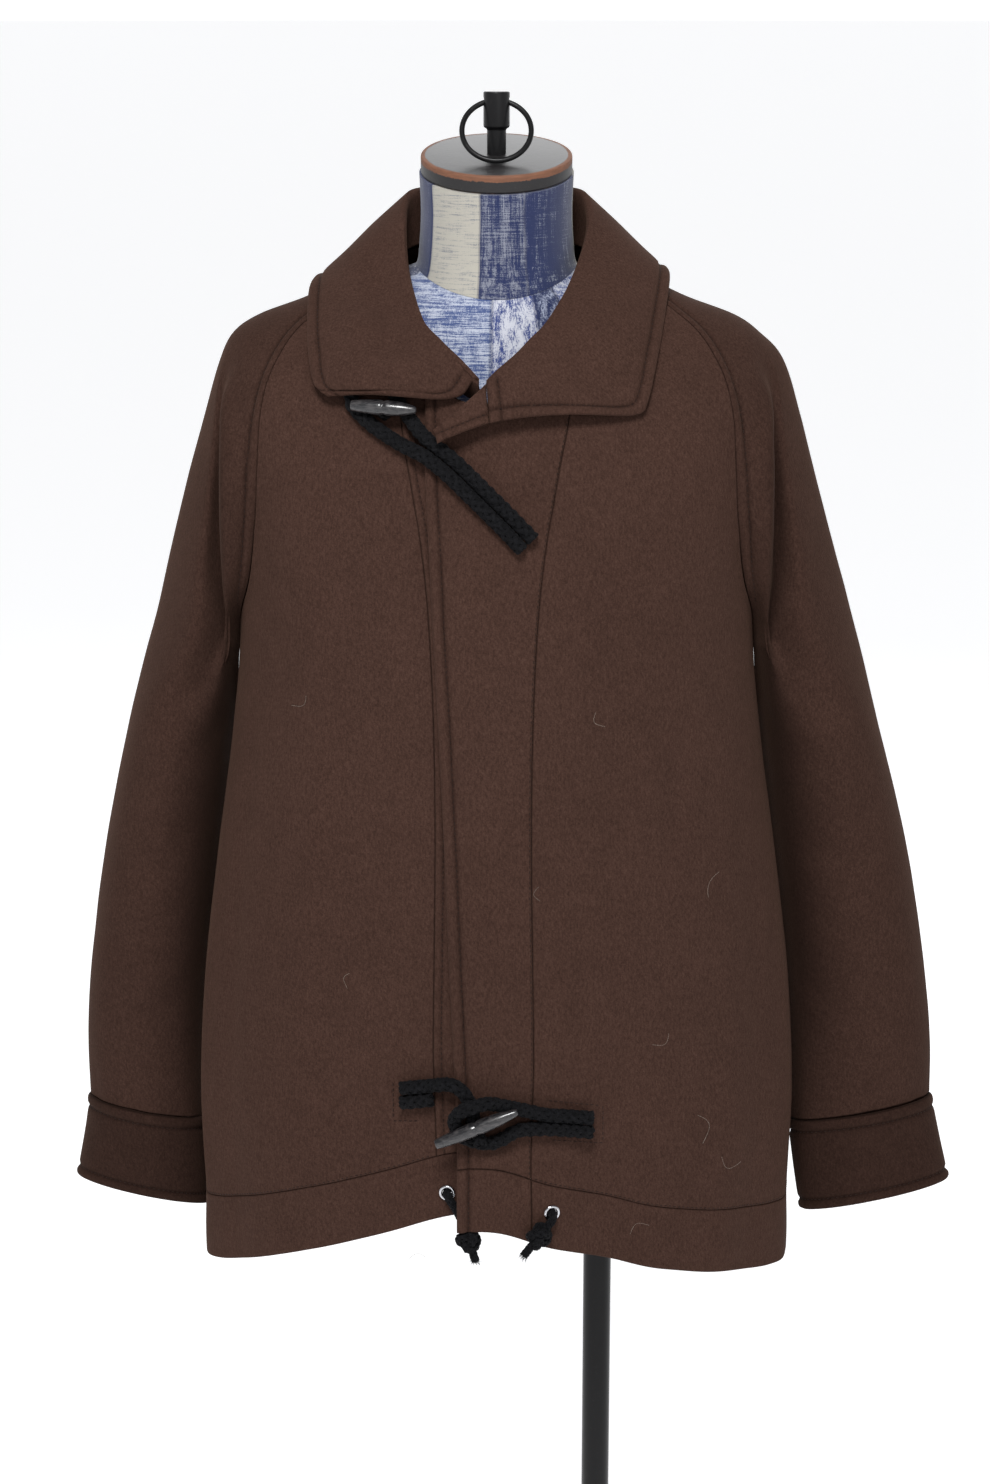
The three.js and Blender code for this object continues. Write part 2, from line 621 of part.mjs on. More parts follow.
function collarSection(row) {
  const foot = onRing(body, row.at, 0, 0);
  const inward = new THREE.Vector3(-foot.x, -foot.y, 0).setLength(row.inset);
  foot.add(inward);
  foot.z += 2 - row.drop;
  const roll = new THREE.Vector3(row.rollX, row.rollY, row.rollZ);
  const edge = new THREE.Vector3(row.edgeX, row.edgeY, row.edgeZ);
  const outward = edge.clone().sub(roll).setZ(0).normalize();
  const neckward = new THREE.Vector3(-roll.x, -roll.y, 0).normalize();
  const stand = roll.clone().addScaledVector(neckward, row.inset - standShare);
  stand.z -= 6;
  const over = roll.clone().addScaledVector(outward, 5);
  over.z -= 1.5;
  const away = new THREE.Vector3(row.edgeX, row.edgeY, 0).normalize();
  away.z = row.rise;
  away.normalize();
  const swell = (t) => 0.9 * row.lift * Math.sin(Math.PI * Math.min(1, t * 1.1));
  const leaf = (t) => over.clone().lerp(edge, t).addScaledVector(away, swell(t));
  const hangs = row === collarRows[collarRows.length - 1] ? endLeaf.map(toVector) : [leaf(0.33), leaf(0.67)];
  return [foot, stand, roll, over, ...hangs, edge].map((p) => p.toArray());
}

function buildCollar() {
  const net = collarRows.map(collarSection);
  const rows = steps(0, collarRows.length - 1, 33);
  const grid = acrossSteps.map((s) => rows.map((t) => netPoint(net, t, s)));
  const normals = gridNormals(grid, () => false);
  add('collar', wall(grid, normals, collarThick), material.wool);
}

function buildLapel() {
  const c = Object.fromEntries(Object.entries(lapelCorners).map(([k, p]) => [k, toVector(p)]));
  const grid = steps(0, 1, 4).map((t) => steps(0, 1, 5).map((s) => {
    const inner = c.topInner.clone().lerp(c.lowInner, t);
    const outer = c.topOuter.clone().lerp(c.lowOuter, t);
    const p = outer.lerp(inner, s);
    p.y -= 2.5 * Math.sin(Math.PI * s) * Math.sin(Math.PI * t);
    return p;
  }));
  add('lapel', wall(grid, gridNormals(grid, () => false), collarThick), material.wool);
}

// ---- ropes, toggles and drawcord ----
// A rope's route: x and z on the coat's front and the height of its middle above the body.
const ropeRoutes = {
  loop_upper: [
    [25, 1239.3, 11.5], [15.3, 1249.6, 11.5], [6.3, 1258.8, 11.5], [-11, 1276, 11.8], [-28.3, 1291.4, 12],
    [-42.2, 1301.5, 12], [-48.6, 1306, 11.8], [-55, 1312.5, 9.4], [-62.5, 1322.1, 5.5], [-69.7, 1331.3, 5.1],
    [-74, 1340, 5.1], [-82, 1346.5, 5.1], [-93, 1347, 5.1], [-101.5, 1340, 5.1], [-102.8, 1329.5, 5.1],
    [-93.3, 1319.4, 5.1], [-82.5, 1311.8, 5.1], [-68.1, 1303.5, 5.6], [-57.6, 1298.4, 9.6],
    [-49.6, 1294.4, 11.8], [-35.6, 1284.4, 12], [-18.4, 1268.6, 11.8], [-1.1, 1251.3, 11.5],
    [7.9, 1242.3, 11.5], [17.5, 1232.1, 11.5],
  ],
  loop_lower: [
    [69, 806.2, 11.2], [51.4, 808.8, 11.2], [34.8, 811, 11.3], [16.8, 816, 12], [2.4, 820.2, 14.5],
    [-6, 823, 19], [-15.5, 821.5, 22], [-24.5, 817, 20], [-29.8, 808.5, 15], [-28, 799, 12.8],
    [-22, 793.5, 12.7], [-14, 791.2, 12.8], [-4.7, 790, 12.8], [4.6, 793.3, 12.5], [14.7, 799.1, 11.8],
    [31.2, 800, 11.3],
    [49.3, 798.3, 11.2], [69, 795.2, 11.2],
  ],
  toggle_rope_upper: [[-79.5, 1324.5, 0.5], [-79.5, 1324.5, 4.9], [-79.5, 1324.5, 9.6]],
  toggle_rope_lower: [
    [-70.1, 827.3, 5.2], [-57.5, 829.5, 5.2], [-45.7, 831.6, 5.8], [-35.6, 834.4, 10.4], [-27.6, 832.5, 12.1],
    [-21.2, 824.8, 11.8], [-17.6, 814, 11.7], [-16.1, 807.4, 13],
  ],
  toggle_tab_lower: [[-70.1, 816.2, 5.2], [-57.5, 818.4, 5.2], [-47, 820.4, 5.4]],
};
const toggles = {
  toggle_upper: { from: [-101, 1325, 15.8], to: [-55, 1323.5, 15.8] },
  toggle_lower: { from: [-42, 792, 23.6], to: [14.5, 818.2, 23.6] },
};
const drawcords = {
  right: [[-37.5, 746, 5.8], [-34.5, 741.5, 5.6], [-32, 737, 4.3], [-28.5, 730, 4.1], [-25.5, 724, 4.1],
    [-23.5, 717.5, 4.1]],
  left: [[40.5, 734.5, 16.3], [39.3, 729.3, 16.4], [35.3, 724.8, 17.9]],
};

function sweep(points, radius, sides, count) {
  const path = new THREE.CatmullRomCurve3(points, false, 'centripetal');
  const outline = new THREE.Shape(steps(0, 360, sides).slice(0, -1).map((a) => (
    new THREE.Vector2(radius * Math.cos(a * deg), radius * Math.sin(a * deg)))));
  return new THREE.ExtrudeGeometry(outline, { steps: count, bevelEnabled: false, extrudePath: path });
}

function buildRopes() {
  Object.entries(ropeRoutes).forEach(([name, route]) => {
    const points = route.map(([x, z, lift]) => frontPoint(x, z, lift));
    const count = Math.max(4, Math.round(1.6 * route.length));
    add(name, sweep(points, ropeRadius, 8, count), material.rope);
  });
}

function buildToggle(name, { from, to }) {
  const start = frontPoint(...from);
  const end = frontPoint(...to);
  const length = start.distanceTo(end);
  const profile = [
    [0, 0], [0.66, 0], [0.74, 0.03], [0.9, 0.2], [1, 0.43], [0.88, 0.5], [1, 0.57], [0.88, 0.76],
    [0.52, 0.96], [0.36, 1], [0, 1],
  ].map(([r, h]) => new THREE.Vector2(r * toggleRadius, h * length));
  const axis = end.clone().sub(start).normalize();
  add(name, placeAlong(new THREE.LatheGeometry(profile, 16), start, axis), material.horn);
}

function buildDrawcord(side, route) {
  const points = route.map(([x, z, lift]) => frontPoint(x, z, lift));
  add(`drawcord_${side}`, sweep(points, drawRadius, 8, 8), material.rope);
  const end = points[points.length - 1];
  const back = points[points.length - 2];
  const down = end.clone().sub(back).normalize();
  const knot = new THREE.SphereGeometry(1, 12, 8);
  knot.scale(knotWidth, knotHalf, knotWidth);
  const middle = end.clone().addScaledVector(down, knotHalf + gap);
  add(`drawcord_knot_${side}`, placeAlong(knot, middle, down), material.rope);
  const tailStart = end.clone().addScaledVector(down, 2 * knotHalf + 2 * gap);
  const tail = [0, drawTail / 2, drawTail].map((d) => tailStart.clone().addScaledVector(down, d));
  add(`drawcord_tail_${side}`, sweep(tail, drawRadius, 8, 3), material.rope);
}

// ---- dress form and stand ----
function loft(rows, from, to, count, columns) {
  const levels = steps(from, to, count);
  const rings = levels.map((v) => steps(0, 360, columns).slice(0, -1).map((a) => onRing(rows, a, v)));
  const top = onRing(rows, 0, from).add(onRing(rows, 180, from)).multiplyScalar(0.5);
  const foot = onRing(rows, 0, to).add(onRing(rows, 180, to)).multiplyScalar(0.5);
  const positions = [...rings.flat(), top, foot].flatMap((p) => p.toArray());
  const index = [];
  const at = (i, j) => i * columns + (j % columns);
  const topIndex = rings.length * columns;
  for (let i = 0; i < rings.length - 1; i += 1) {
    for (let j = 0; j < columns; j += 1) {
      index.push(at(i, j), at(i + 1, j), at(i + 1, j + 1), at(i, j), at(i + 1, j + 1), at(i, j + 1));
    }
  }
  for (let j = 0; j < columns; j += 1) {
    index.push(topIndex, at(0, j), at(0, j + 1));
    index.push(topIndex + 1, at(rings.length - 1, j + 1), at(rings.length - 1, j));
  }
  const geometry = new THREE.BufferGeometry();
  geometry.setAttribute('position', new THREE.Float32BufferAttribute(positions, 3));
  geometry.setIndex(index);
  return geometry;
}

function turned(points, sides = 40) {
  return new THREE.LatheGeometry(points.map(([r, h]) => new THREE.Vector2(r, h)), sides).rotateX(Math.PI / 2);
}

function buildForm() {
  add('form_neck', loft(torso, 0, neckBase - 0.02, 6, 32), material.denim);
  add('form_torso', loft(torso, neckBase, torso.length - 1, 20, 32), material.denim);
  const cap = turned([[0, 0], [capRadius, 0], [capRadius, capThick - 2.5], [capRadius - 0.8, capThick - 0.7],
    [capRadius - 2.5, capThick], [0, capThick]], 40);
  cap.rotateX(capTilt * deg).translate(0, 0, capCentre);
  add('neck_cap', cap, material.capWood);
  const post = turned([[0, 1490], [postStem, 1490], [postStem, postStep], [postRadius, postStep + 1.5],
    [postRadius, postTop - 1.5], [postRadius - 1.5, postTop], [0, postTop]], 32);
  const crossHole = new THREE.CylinderGeometry(ringHole, ringHole, 60, 24).rotateZ(Math.PI / 2);
  crossHole.translate(0, 0, ringHinge);
  const seat = new THREE.BoxGeometry(80, 80, 40).translate(0, 0, capThick + gap - 20);
  seat.rotateX(capTilt * deg).translate(0, 0, capCentre);
  add('neck_post', cut(post, crossHole, seat), material.blackMetal);
  const ring = new THREE.TorusGeometry(ringRadius, ringWire, 8, 32).rotateX(Math.PI / 2);
  ring.translate(0, 0, wireShift - ringRadius).rotateX(-ringLean * deg).translate(0, 0, ringHinge);
  add('lift_ring', ring, material.blackMetal);
  const plateShape = new THREE.Shape(steps(0, 360, 32).slice(0, -1).map((a) => {
    const p = onRing(torso, a, torso.length - 1);
    return new THREE.Vector2(p.x * 0.97, p.y * 0.97);
  }));
  const board = new THREE.ExtrudeGeometry(plateShape, { depth: plateThick, bevelEnabled: false });
  add('form_board', board.translate(0, 0, torsoBottom - plateThick - gap), material.capWood);
  const boardFoot = torsoBottom - plateThick - 2 * gap;
  const flange = turned([[0, boardFoot - 34], [poleRadius + 3, boardFoot - 34],
    [poleRadius + 3, boardFoot - 12], [24, boardFoot - 4], [24, boardFoot], [0, boardFoot]], 32);
  add('pole_socket', flange.translate(poleX, 0, 0), material.blackMetal);
  const pole = turned([[0, baseThick + 14.3], [poleRadius, baseThick + 14.3],
    [poleRadius, boardFoot - 34 - gap], [0, boardFoot - 34 - gap]], 32);
  add('pole', pole.translate(poleX, 0, 0), material.blackMetal);
  const base = turned([[0, 0], [baseRadius, 0], [baseRadius, baseThick - 3], [baseRadius - 3, baseThick],
    [26, baseThick + 2], [22, baseThick + 14], [0, baseThick + 14]], 48);
  add('stand_base', base.translate(poleX, 0, 0), material.blackMetal);
}

buildBody();
buildEyelet('eyelet_right', eyelets.right);
buildEyelet('eyelet_left', eyelets.left);
buildSleeve('sleeve_left', sleeves.left);
buildSleeve('sleeve_right', sleeves.right);
buildCuff('cuff_left', sleeves.left);
buildCuff('cuff_right', sleeves.right);
buildCollar();
buildLapel();
buildRopes();
Object.entries(toggles).forEach(([name, toggle]) => buildToggle(name, toggle));
Object.entries(drawcords).forEach(([side, cord]) => buildDrawcord(side, cord));
buildForm();

export default model;
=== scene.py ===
import math
from functools import partial

import bpy
import numpy as np
from mathutils import Matrix, Vector
from mathutils.kdtree import KDTree


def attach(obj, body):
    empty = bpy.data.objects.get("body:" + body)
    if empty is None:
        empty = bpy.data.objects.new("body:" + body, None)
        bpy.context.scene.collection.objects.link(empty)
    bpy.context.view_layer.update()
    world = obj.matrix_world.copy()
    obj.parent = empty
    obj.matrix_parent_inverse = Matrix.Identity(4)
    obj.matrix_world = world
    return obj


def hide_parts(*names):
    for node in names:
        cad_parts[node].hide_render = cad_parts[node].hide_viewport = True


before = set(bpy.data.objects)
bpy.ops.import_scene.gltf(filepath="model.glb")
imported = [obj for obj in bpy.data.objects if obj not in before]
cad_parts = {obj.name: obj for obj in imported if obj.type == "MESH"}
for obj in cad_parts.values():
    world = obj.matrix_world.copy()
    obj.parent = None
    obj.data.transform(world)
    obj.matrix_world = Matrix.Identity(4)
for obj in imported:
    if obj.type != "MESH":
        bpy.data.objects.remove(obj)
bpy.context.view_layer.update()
chance = np.random.default_rng(11)
mm = 0.001   # tables and sizes below are in millimetres, meshes in metres
deg = math.pi / 180


def inScene(name, data):
    thing = bpy.data.objects.new(name, data)
    bpy.context.scene.collection.objects.link(thing)
    return thing


# ---- camera first, then light and floor ----
view = dict(place=(-1.16, -2173.3, 1635.3), pitch=15, lens=70.35, sensorHeight=36, reach=400)
cameraData = bpy.data.cameras.new("camera")
cameraData.sensor_fit = "VERTICAL"
cameraData.sensor_height = view["sensorHeight"]
cameraData.lens = view["lens"]
cameraData.clip_end = view["reach"]
camera = inScene("camera", cameraData)
camera.location = Vector(view["place"]) * mm
camera.rotation_euler = ((90 - view["pitch"]) * deg, 0, 0)
bpy.context.scene.camera = camera
bpy.context.scene.view_settings.view_transform = "Standard"

studio = dict(
    skyBehind=1.25, skyFront=0.27, skyColor=(0.97, 0.98, 1.0), sideFade=(0.1, 0.85), lowFade=(0.36, 0.2),
    floorColor=(0.80, 0.80, 0.81), floorGlow=0.5, floorRadius=90000, floorDrop=0.5,
    lights=[
        dict(name="key", place=(-0.22, -2.1, 3.3), aim=(0, 0, 1.1), size=0.95, power=102),
        dict(name="fill", place=(1.2, -3.0, 2.0), aim=(0, 0, 1.0), size=2.0, power=9),
        dict(name="rear", place=(0.6, 3.0, 3.0), aim=(0, 0, 1.0), size=2.4, power=30),
    ])


def buildStudio():
    world = bpy.data.worlds.new("studio")
    world.use_nodes = True
    tree = world.node_tree
    sky = tree.nodes["Background"].inputs
    towards = addNode(tree, "TexCoord").outputs["Generated"]
    parts = addNode(tree, "SeparateXYZ", Vector=towards).outputs
    bright = larger(stepUp(parts["Y"], *studio["sideFade"]), stepUp(parts["Z"], *studio["lowFade"]))
    glow = scaled(bright, studio["skyBehind"] - studio["skyFront"], studio["skyFront"])
    hookAll(sky, Color=studio["skyColor"], Strength=glow)
    bpy.context.scene.world = world
    for light in studio["lights"]:
        data = bpy.data.lights.new(light["name"], "AREA")
        data.shape, data.size, data.energy = "DISK", light["size"], light["power"]
        lamp = inScene(light["name"], data)
        lamp.location = light["place"]
        lamp.rotation_euler = (Vector(light["aim"]) - lamp.location).to_track_quat("-Z", "Y").to_euler()
    ring = circle(64) * studio["floorRadius"]
    rim = np.column_stack([ring, np.full(64, -studio["floorDrop"])])
    floor = inScene("floor", newMesh("floor", rim, [list(range(64))]))
    paper, shader, place = newMaterial("floorPaper", Emission_Color=(1, 1, 1), Emission_Strength=studio["floorGlow"])
    floor.data.materials.append(finished(paper, studio["floorColor"], 0.9))


# ---- small tools ----
def columns(names, rows):
    return {name: np.array([row[k] for row in rows], float) for k, name in enumerate(names.split())}


def rowsOf(table):
    return zip(*table.values())


def smooth(t):
    c = np.clip(t, 0, 1)
    return c * c * (3 - 2 * c)


def through(values, t):
    # value at t of the curve through evenly spaced values
    values, t = np.asarray(values, float), np.asarray(t, float)
    i = np.clip(np.floor(t), 0, len(values) - 2).astype(int)
    f = t - i
    if values.ndim > 1:
        f = f.reshape(f.shape + (1,) * (values.ndim - 1))
    ends = np.concatenate([2 * values[:1] - values[1:2], values, 2 * values[-1:] - values[-2:-1]])
    a, b, c, d = ends[i], ends[i + 1], ends[i + 2], ends[i + 3]
    return 0.5 * (2 * b + (c - a) * f + (2 * a - 5 * b + 4 * c - d) * f * f
                  + (3 * b - a - 3 * c + d) * f * f * f)


def unit(vectors):
    return vectors / np.maximum(np.linalg.norm(vectors, axis=-1, keepdims=True), 1e-9)


def level(x, y):
    return unit(np.array([x, y, 0.0]))


def along(line):
    # distance of each point of a line from its start
    return np.concatenate([[0], np.cumsum(np.linalg.norm(np.diff(line, axis=0), axis=1))])


def spaced(line, step):
    far = along(line)
    count = max(2, int(round(far[-1] / step)) + 1)
    at = np.linspace(0, far[-1], count)
    return np.stack([np.interp(at, far, line[:, k]) for k in range(3)], axis=1)


def curve(points, step):
    points = np.array(points, float)
    return spaced(through(points, np.linspace(0, len(points) - 1, 40 * len(points))), step)


edgeSteps = [0, 0.25, 0.7, 1.3, 2.1, 3.1, 4.4, 5.6, 6.8, 8, 9.2, 10.5, 12.2, 14.6]


def knots(line, values, step):
    # values along a line, close together near its two ends and a step apart between
    far = along(line)
    total = far[-1]
    ends = [e for e in edgeSteps if e < total * 0.45]
    middle = np.linspace(ends[-1], total - ends[-1], max(2, int((total - 2 * ends[-1]) / step) + 1))
    at = np.concatenate([ends[:-1], middle, [total - e for e in reversed(ends[:-1])]])
    return np.interp(at, far, values)


def knotsOf(shape, last, count, step):
    # the same for a line that is worked out from values between 0 and last
    fine = np.linspace(0, last, count)
    return knots(shape(fine), fine, step)


def sides(grid):
    # distance of every point of a grid from its first and last column and row
    across = np.linalg.norm(np.diff(grid, axis=1), axis=2)
    down = np.linalg.norm(np.diff(grid, axis=0), axis=2)
    left = np.concatenate([np.zeros((grid.shape[0], 1)), np.cumsum(across, axis=1)], axis=1)
    top = np.concatenate([np.zeros((1, grid.shape[1])), np.cumsum(down, axis=0)], axis=0)
    return dict(left=left, right=left[:, -1:] - left, top=top, bottom=top[-1:] - top)


def gridNormals(grid, closed=None):
    down = np.gradient(grid, axis=0)
    across = np.gradient(grid, axis=1)
    if closed is not None:
        join = unit(grid[:, 1] - grid[:, 0]) + unit(grid[:, -1] - grid[:, -2])
        across[closed, 0] = across[closed, -1] = join[closed]
    return unit(np.cross(down, across))


def rollOff(d, radius):
    # how far a surface sinks towards a rounded edge
    return radius * (1 - np.sqrt(np.maximum(0, 1 - (1 - np.clip(d / radius, 0, 1)) ** 2)))


def groove(d, at, width=2.1):
    return np.exp(-((d - at) / width) ** 2)


# ---- meshes ----
def circle(count):
    a = np.arange(count) * 2 * math.pi / count
    return np.stack([np.cos(a), np.sin(a)], axis=1)


def newMesh(name, points, faces):
    mesh = bpy.data.meshes.new(name)
    mesh.from_pydata((np.asarray(points) * mm).tolist(), [], faces)
    return mesh


def makePiece(name, shape, look, body="stand", replaces=None, at=None):
    # a piece stands in for the node of its own name unless told otherwise
    mesh = newMesh(name, *shape)
    mesh.polygons.foreach_set("use_smooth", [True] * len(mesh.polygons))
    mesh.set_sharp_from_angle(angle=50 * deg)
    mesh.validate()
    mesh.materials.append(materials[look])
    piece = inScene(name, mesh)
    if at is not None:
        piece.matrix_world = at
    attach(piece, body)
    if replaces != ():
        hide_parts(*(replaces or [name]))
    return piece


def gridFaces(rows, count, start=0, flip=False, wrap=False, ringed=False):
    # wrap joins the last column to the first, ringed the last row to the first too
    index = start + np.arange(rows * count).reshape(rows, count)
    if wrap:
        index = np.concatenate([index, index[:, :1]], axis=1)
    if ringed:
        index = np.concatenate([index, index[:1]])
    a, b, c, d = index[:-1, :-1], index[1:, :-1], index[1:, 1:], index[:-1, 1:]
    return np.stack([a, d, c, b] if flip else [a, b, c, d], axis=-1).reshape(-1, 4).tolist()


def shellMesh(outer, inner):
    rows, count = outer.shape[:2]
    points = np.concatenate([outer.reshape(-1, 3), inner.reshape(-1, 3)])
    faces = gridFaces(rows, count) + gridFaces(rows, count, rows * count, flip=True)
    o = np.arange(rows * count).reshape(rows, count)
    for line in (o[:, 0], o[::-1, -1], o[0, ::-1], o[-1]):
        back = line + rows * count
        faces += np.stack([line[:-1], back[:-1], back[1:], line[1:]], axis=-1).tolist()
    return points, faces


def frames(path):
    tangent = unit(np.gradient(path, axis=0))
    side = np.zeros_like(path)
    guide = np.cross(tangent[0], (0.2, 0.1, 1.0))
    for k, t in enumerate(tangent):
        guide = guide - t * guide.dot(t)
        guide = guide / np.linalg.norm(guide)
        side[k] = guide
    return tangent, side, np.cross(tangent, side)


def tube(path, radius, count):
    # radius is one number or one for each point of the path
    tangent, side, up = frames(path)
    radius = np.broadcast_to(np.asarray(radius, float), (len(path),))
    turn = circle(count)
    ring = turn[None, :, :1] * side[:, None] + turn[None, :, 1:] * up[:, None]
    points = (path[:, None] + ring * radius[:, None, None]).reshape(-1, 3)
    ends = [list(range(count))[::-1], [(len(path) - 1) * count + k for k in range(count)]]
    return points, gridFaces(len(path), count, flip=True, wrap=True) + ends


def joined(parts):
    points, faces, start = [], [], 0
    for p, f in parts:
        points.append(p)
        faces += [[start + k for k in face] for face in f]
        start += len(p)
    return np.concatenate(points), faces


def braid(path, radius, pitch, strandSides=6, strands=4):
    # two sets of strands that wind opposite ways and pass over and under each other
    tangent, side, up = frames(path)
    alpha = 2 * math.pi * along(path) / pitch
    yarn, weave = radius * 0.40, radius * 0.10
    parts = []
    for way in (1, -1):
        for k in range(strands):
            phi = way * alpha + 2 * math.pi * k / strands
            reach = radius - yarn + way * weave * np.cos(strands * alpha)
            ring = np.cos(phi)[:, None] * side + np.sin(phi)[:, None] * up
            parts.append(tube(path + ring * reach[:, None], yarn, strandSides))
    return joined(parts)


def lathe(profile, count):
    # a closed turned body from (radius, height) points that start and end on the axis, going up
    profile = np.array(profile, float)
    inner, turn = profile[1:-1], circle(count)
    rings = [[r * x, r * y, h] for r, h in inner for x, y in turn]
    points = np.array([[0, 0, profile[0][1]], *rings, [0, 0, profile[-1][1]]])
    top = 1 + (len(inner) - 1) * count
    faces = [[0, 1 + (k + 1) % count, 1 + k] for k in range(count)]
    faces += gridFaces(len(inner), count, 1, flip=True, wrap=True)
    faces += [[len(points) - 1, top + k, top + (k + 1) % count] for k in range(count)]
    return points, faces


def rounded(profile, radius=0.8, count=4):
    # rounds the corners of a turned profile
    done = [profile[0]]
    for before, here, after in zip(profile, profile[1:], profile[2:]):
        here, a, b = (np.array(p, float) for p in (here, before, after))
        cut = min(radius, np.linalg.norm(a - here) / 2.2, np.linalg.norm(b - here) / 2.2)
        a, b = here + unit(a - here) * cut, here + unit(b - here) * cut
        for t in np.linspace(0, 1, count):
            done.append(tuple((1 - t) ** 2 * a + 2 * t * (1 - t) * here + t * t * b))
    return done + [profile[-1]]


def turnedTo(shape, start, axis):
    # stands a turned body on a point, along a direction
    turn = Vector((0, 0, 1)).rotation_difference(Vector(axis)).to_matrix()
    return np.array(shape[0]) @ np.array(turn).T + np.array(start), shape[1]


# ---- shader tools: a socket knows its own tree ----
def isSocket(value):
    return isinstance(value, bpy.types.NodeSocket)


def hookUp(socket, value):
    if isSocket(value):
        socket.id_data.links.new(value, socket)
    else:
        socket.default_value = (*value[:3], 1) if socket.type == "RGBA" else value


def hookAll(inputs, **values):
    for label, value in values.items():
        hookUp(inputs[label.replace("_", " ")], value)


def addNode(tree, kind, settings=None, **values):
    node = tree.nodes.new("ShaderNode" + kind)
    for key, value in (settings or {}).items():
        setattr(node, key, value)
    hookAll(node.inputs, **values)
    return node


def addBeside(values, kind, settings=None):
    # a node in the tree of the first socket among the values
    tree = next(value for value in values if isSocket(value)).id_data
    return addNode(tree, kind, settings)


def mathNode(operation, a, b=0.0):
    node = addBeside((a, b), "Math", dict(operation=operation))
    for socket, value in zip(node.inputs, (a, b)):
        hookUp(socket, value)
    return node.outputs[0]


plus, minus, times, larger = (partial(mathNode, kind) for kind in ("ADD", "SUBTRACT", "MULTIPLY", "MAXIMUM"))


def scaled(value, by, add):
    return plus(times(value, by), add)


def blend(factor, a, b, mode="MIX"):
    node = addBeside((factor, a, b), "Mix", dict(data_type="RGBA", blend_type=mode))
    for k, value in ((0, factor), (6, a), (7, b)):
        hookUp(node.inputs[k], value)
    return node.outputs[2]


def stepUp(value, low, high):
    node = addBeside((value,), "MapRange", dict(interpolation_type="SMOOTHSTEP"))
    hookAll(node.inputs, Value=value, From_Min=low, From_Max=high)
    return node.outputs["Result"]


def stretched(vector, scale):
    node = addBeside((vector,), "Mapping")
    hookAll(node.inputs, Vector=vector, Scale=scale)
    return node.outputs["Vector"]


def noiseAt(vector, scale, detail=2.0, rough=0.5):
    node = addBeside((vector,), "TexNoise")
    hookAll(node.inputs, Vector=vector, Scale=scale, Detail=detail, Roughness=rough)
    return node.outputs["Fac"]


def waveAt(vector, direction, **values):
    node = addBeside((vector,), "TexWave", dict(wave_type="BANDS", bands_direction=direction))
    hookAll(node.inputs, Vector=vector, **values)
    return node.outputs["Fac"]


def newGroup(name, inputs, outputs):
    # an input takes its kind from its value; of the outputs only Color is a color
    kinds = {type(None): "Vector", tuple: "Color", float: "Float"}
    tree = bpy.data.node_groups.new(name, "ShaderNodeTree")
    for label, value in inputs.items():
        kind = "NodeSocket" + kinds[type(value)]
        socket = tree.interface.new_socket(name=label, in_out="INPUT", socket_type=kind)
        if value is not None:
            socket.default_value = value
    for label in outputs:
        kind = "NodeSocketColor" if label == "Color" else "NodeSocketFloat"
        tree.interface.new_socket(name=label, in_out="OUTPUT", socket_type=kind)
    return tree, tree.nodes.new("NodeGroupInput").outputs, tree.nodes.new("NodeGroupOutput").inputs


def feltGroup():
    # milled wool: matted fibres, a faint twill under them and pale stray hairs
    tree, given, out = newGroup("milledWool", dict(
        Vector=None, Ground=(0.05, 0.03, 0.02, 1), Heather=(0.1, 0.06, 0.05, 1), Deep=(0.02, 0.01, 0.01, 1),
        Fleck=0.5), ("Color", "Height", "Roughness"))
    at, deep, heather = given["Vector"], given["Deep"], given["Heather"]
    matted = noiseAt(stretched(at, (1, 1, 0.45)), 620, 2, 0.6)
    cloud = noiseAt(at, 46, 3, 0.55)
    wide = noiseAt(at, 9, 2, 0.5)
    twill = waveAt(at, "DIAGONAL", Scale=165.0, Distortion=5.0, Detail=2.0, Detail_Scale=1.4)
    hairs = noiseAt(stretched(at, (1, 1, 0.22)), 880, 4, 0.75)
    fine = plus(times(noiseAt(at, 1150, 3, 0.65), 0.55), times(matted, 0.45))
    color = blend(times(stepUp(fine, 0.52, 0.33), 0.62), given["Ground"], deep)
    color = blend(times(stepUp(fine, 0.47, 0.68), 0.55), color, heather)
    color = blend(times(twill, 0.12), color, deep)
    color = blend(times(stepUp(hairs, 0.60, 0.72), given["Fleck"]), color, heather)
    tone = plus(plus(times(cloud, 0.26), times(wide, 0.2)), 0.77)
    height = plus(plus(fine, times(twill, 0.12)), times(cloud, 0.35))
    hookAll(out, Color=blend(1.0, color, tone, "MULTIPLY"), Height=height, Roughness=scaled(fine, 0.15, 0.84))
    return tree


def wearGroup():
    # rubbed and speckled finish: a mask that grows where Edge is high
    tree, given, out = newGroup("rubbedFinish", dict(Vector=None, Edge=0.0, Amount=0.5), ("Mask", "Dust", "Height"))
    broad = noiseAt(given["Vector"], 60, 4, 0.6)
    small = noiseAt(given["Vector"], 420, 3, 0.6)
    worn = plus(times(given["Edge"], plus(broad, 0.35)), times(minus(small, 0.5), 0.5))
    worn = times(worn, given["Amount"])
    hookAll(out, Mask=stepUp(worn, 0.28, 0.46), Dust=stepUp(small, 0.56, 0.74),
            Height=plus(times(small, 0.6), broad))
    return tree


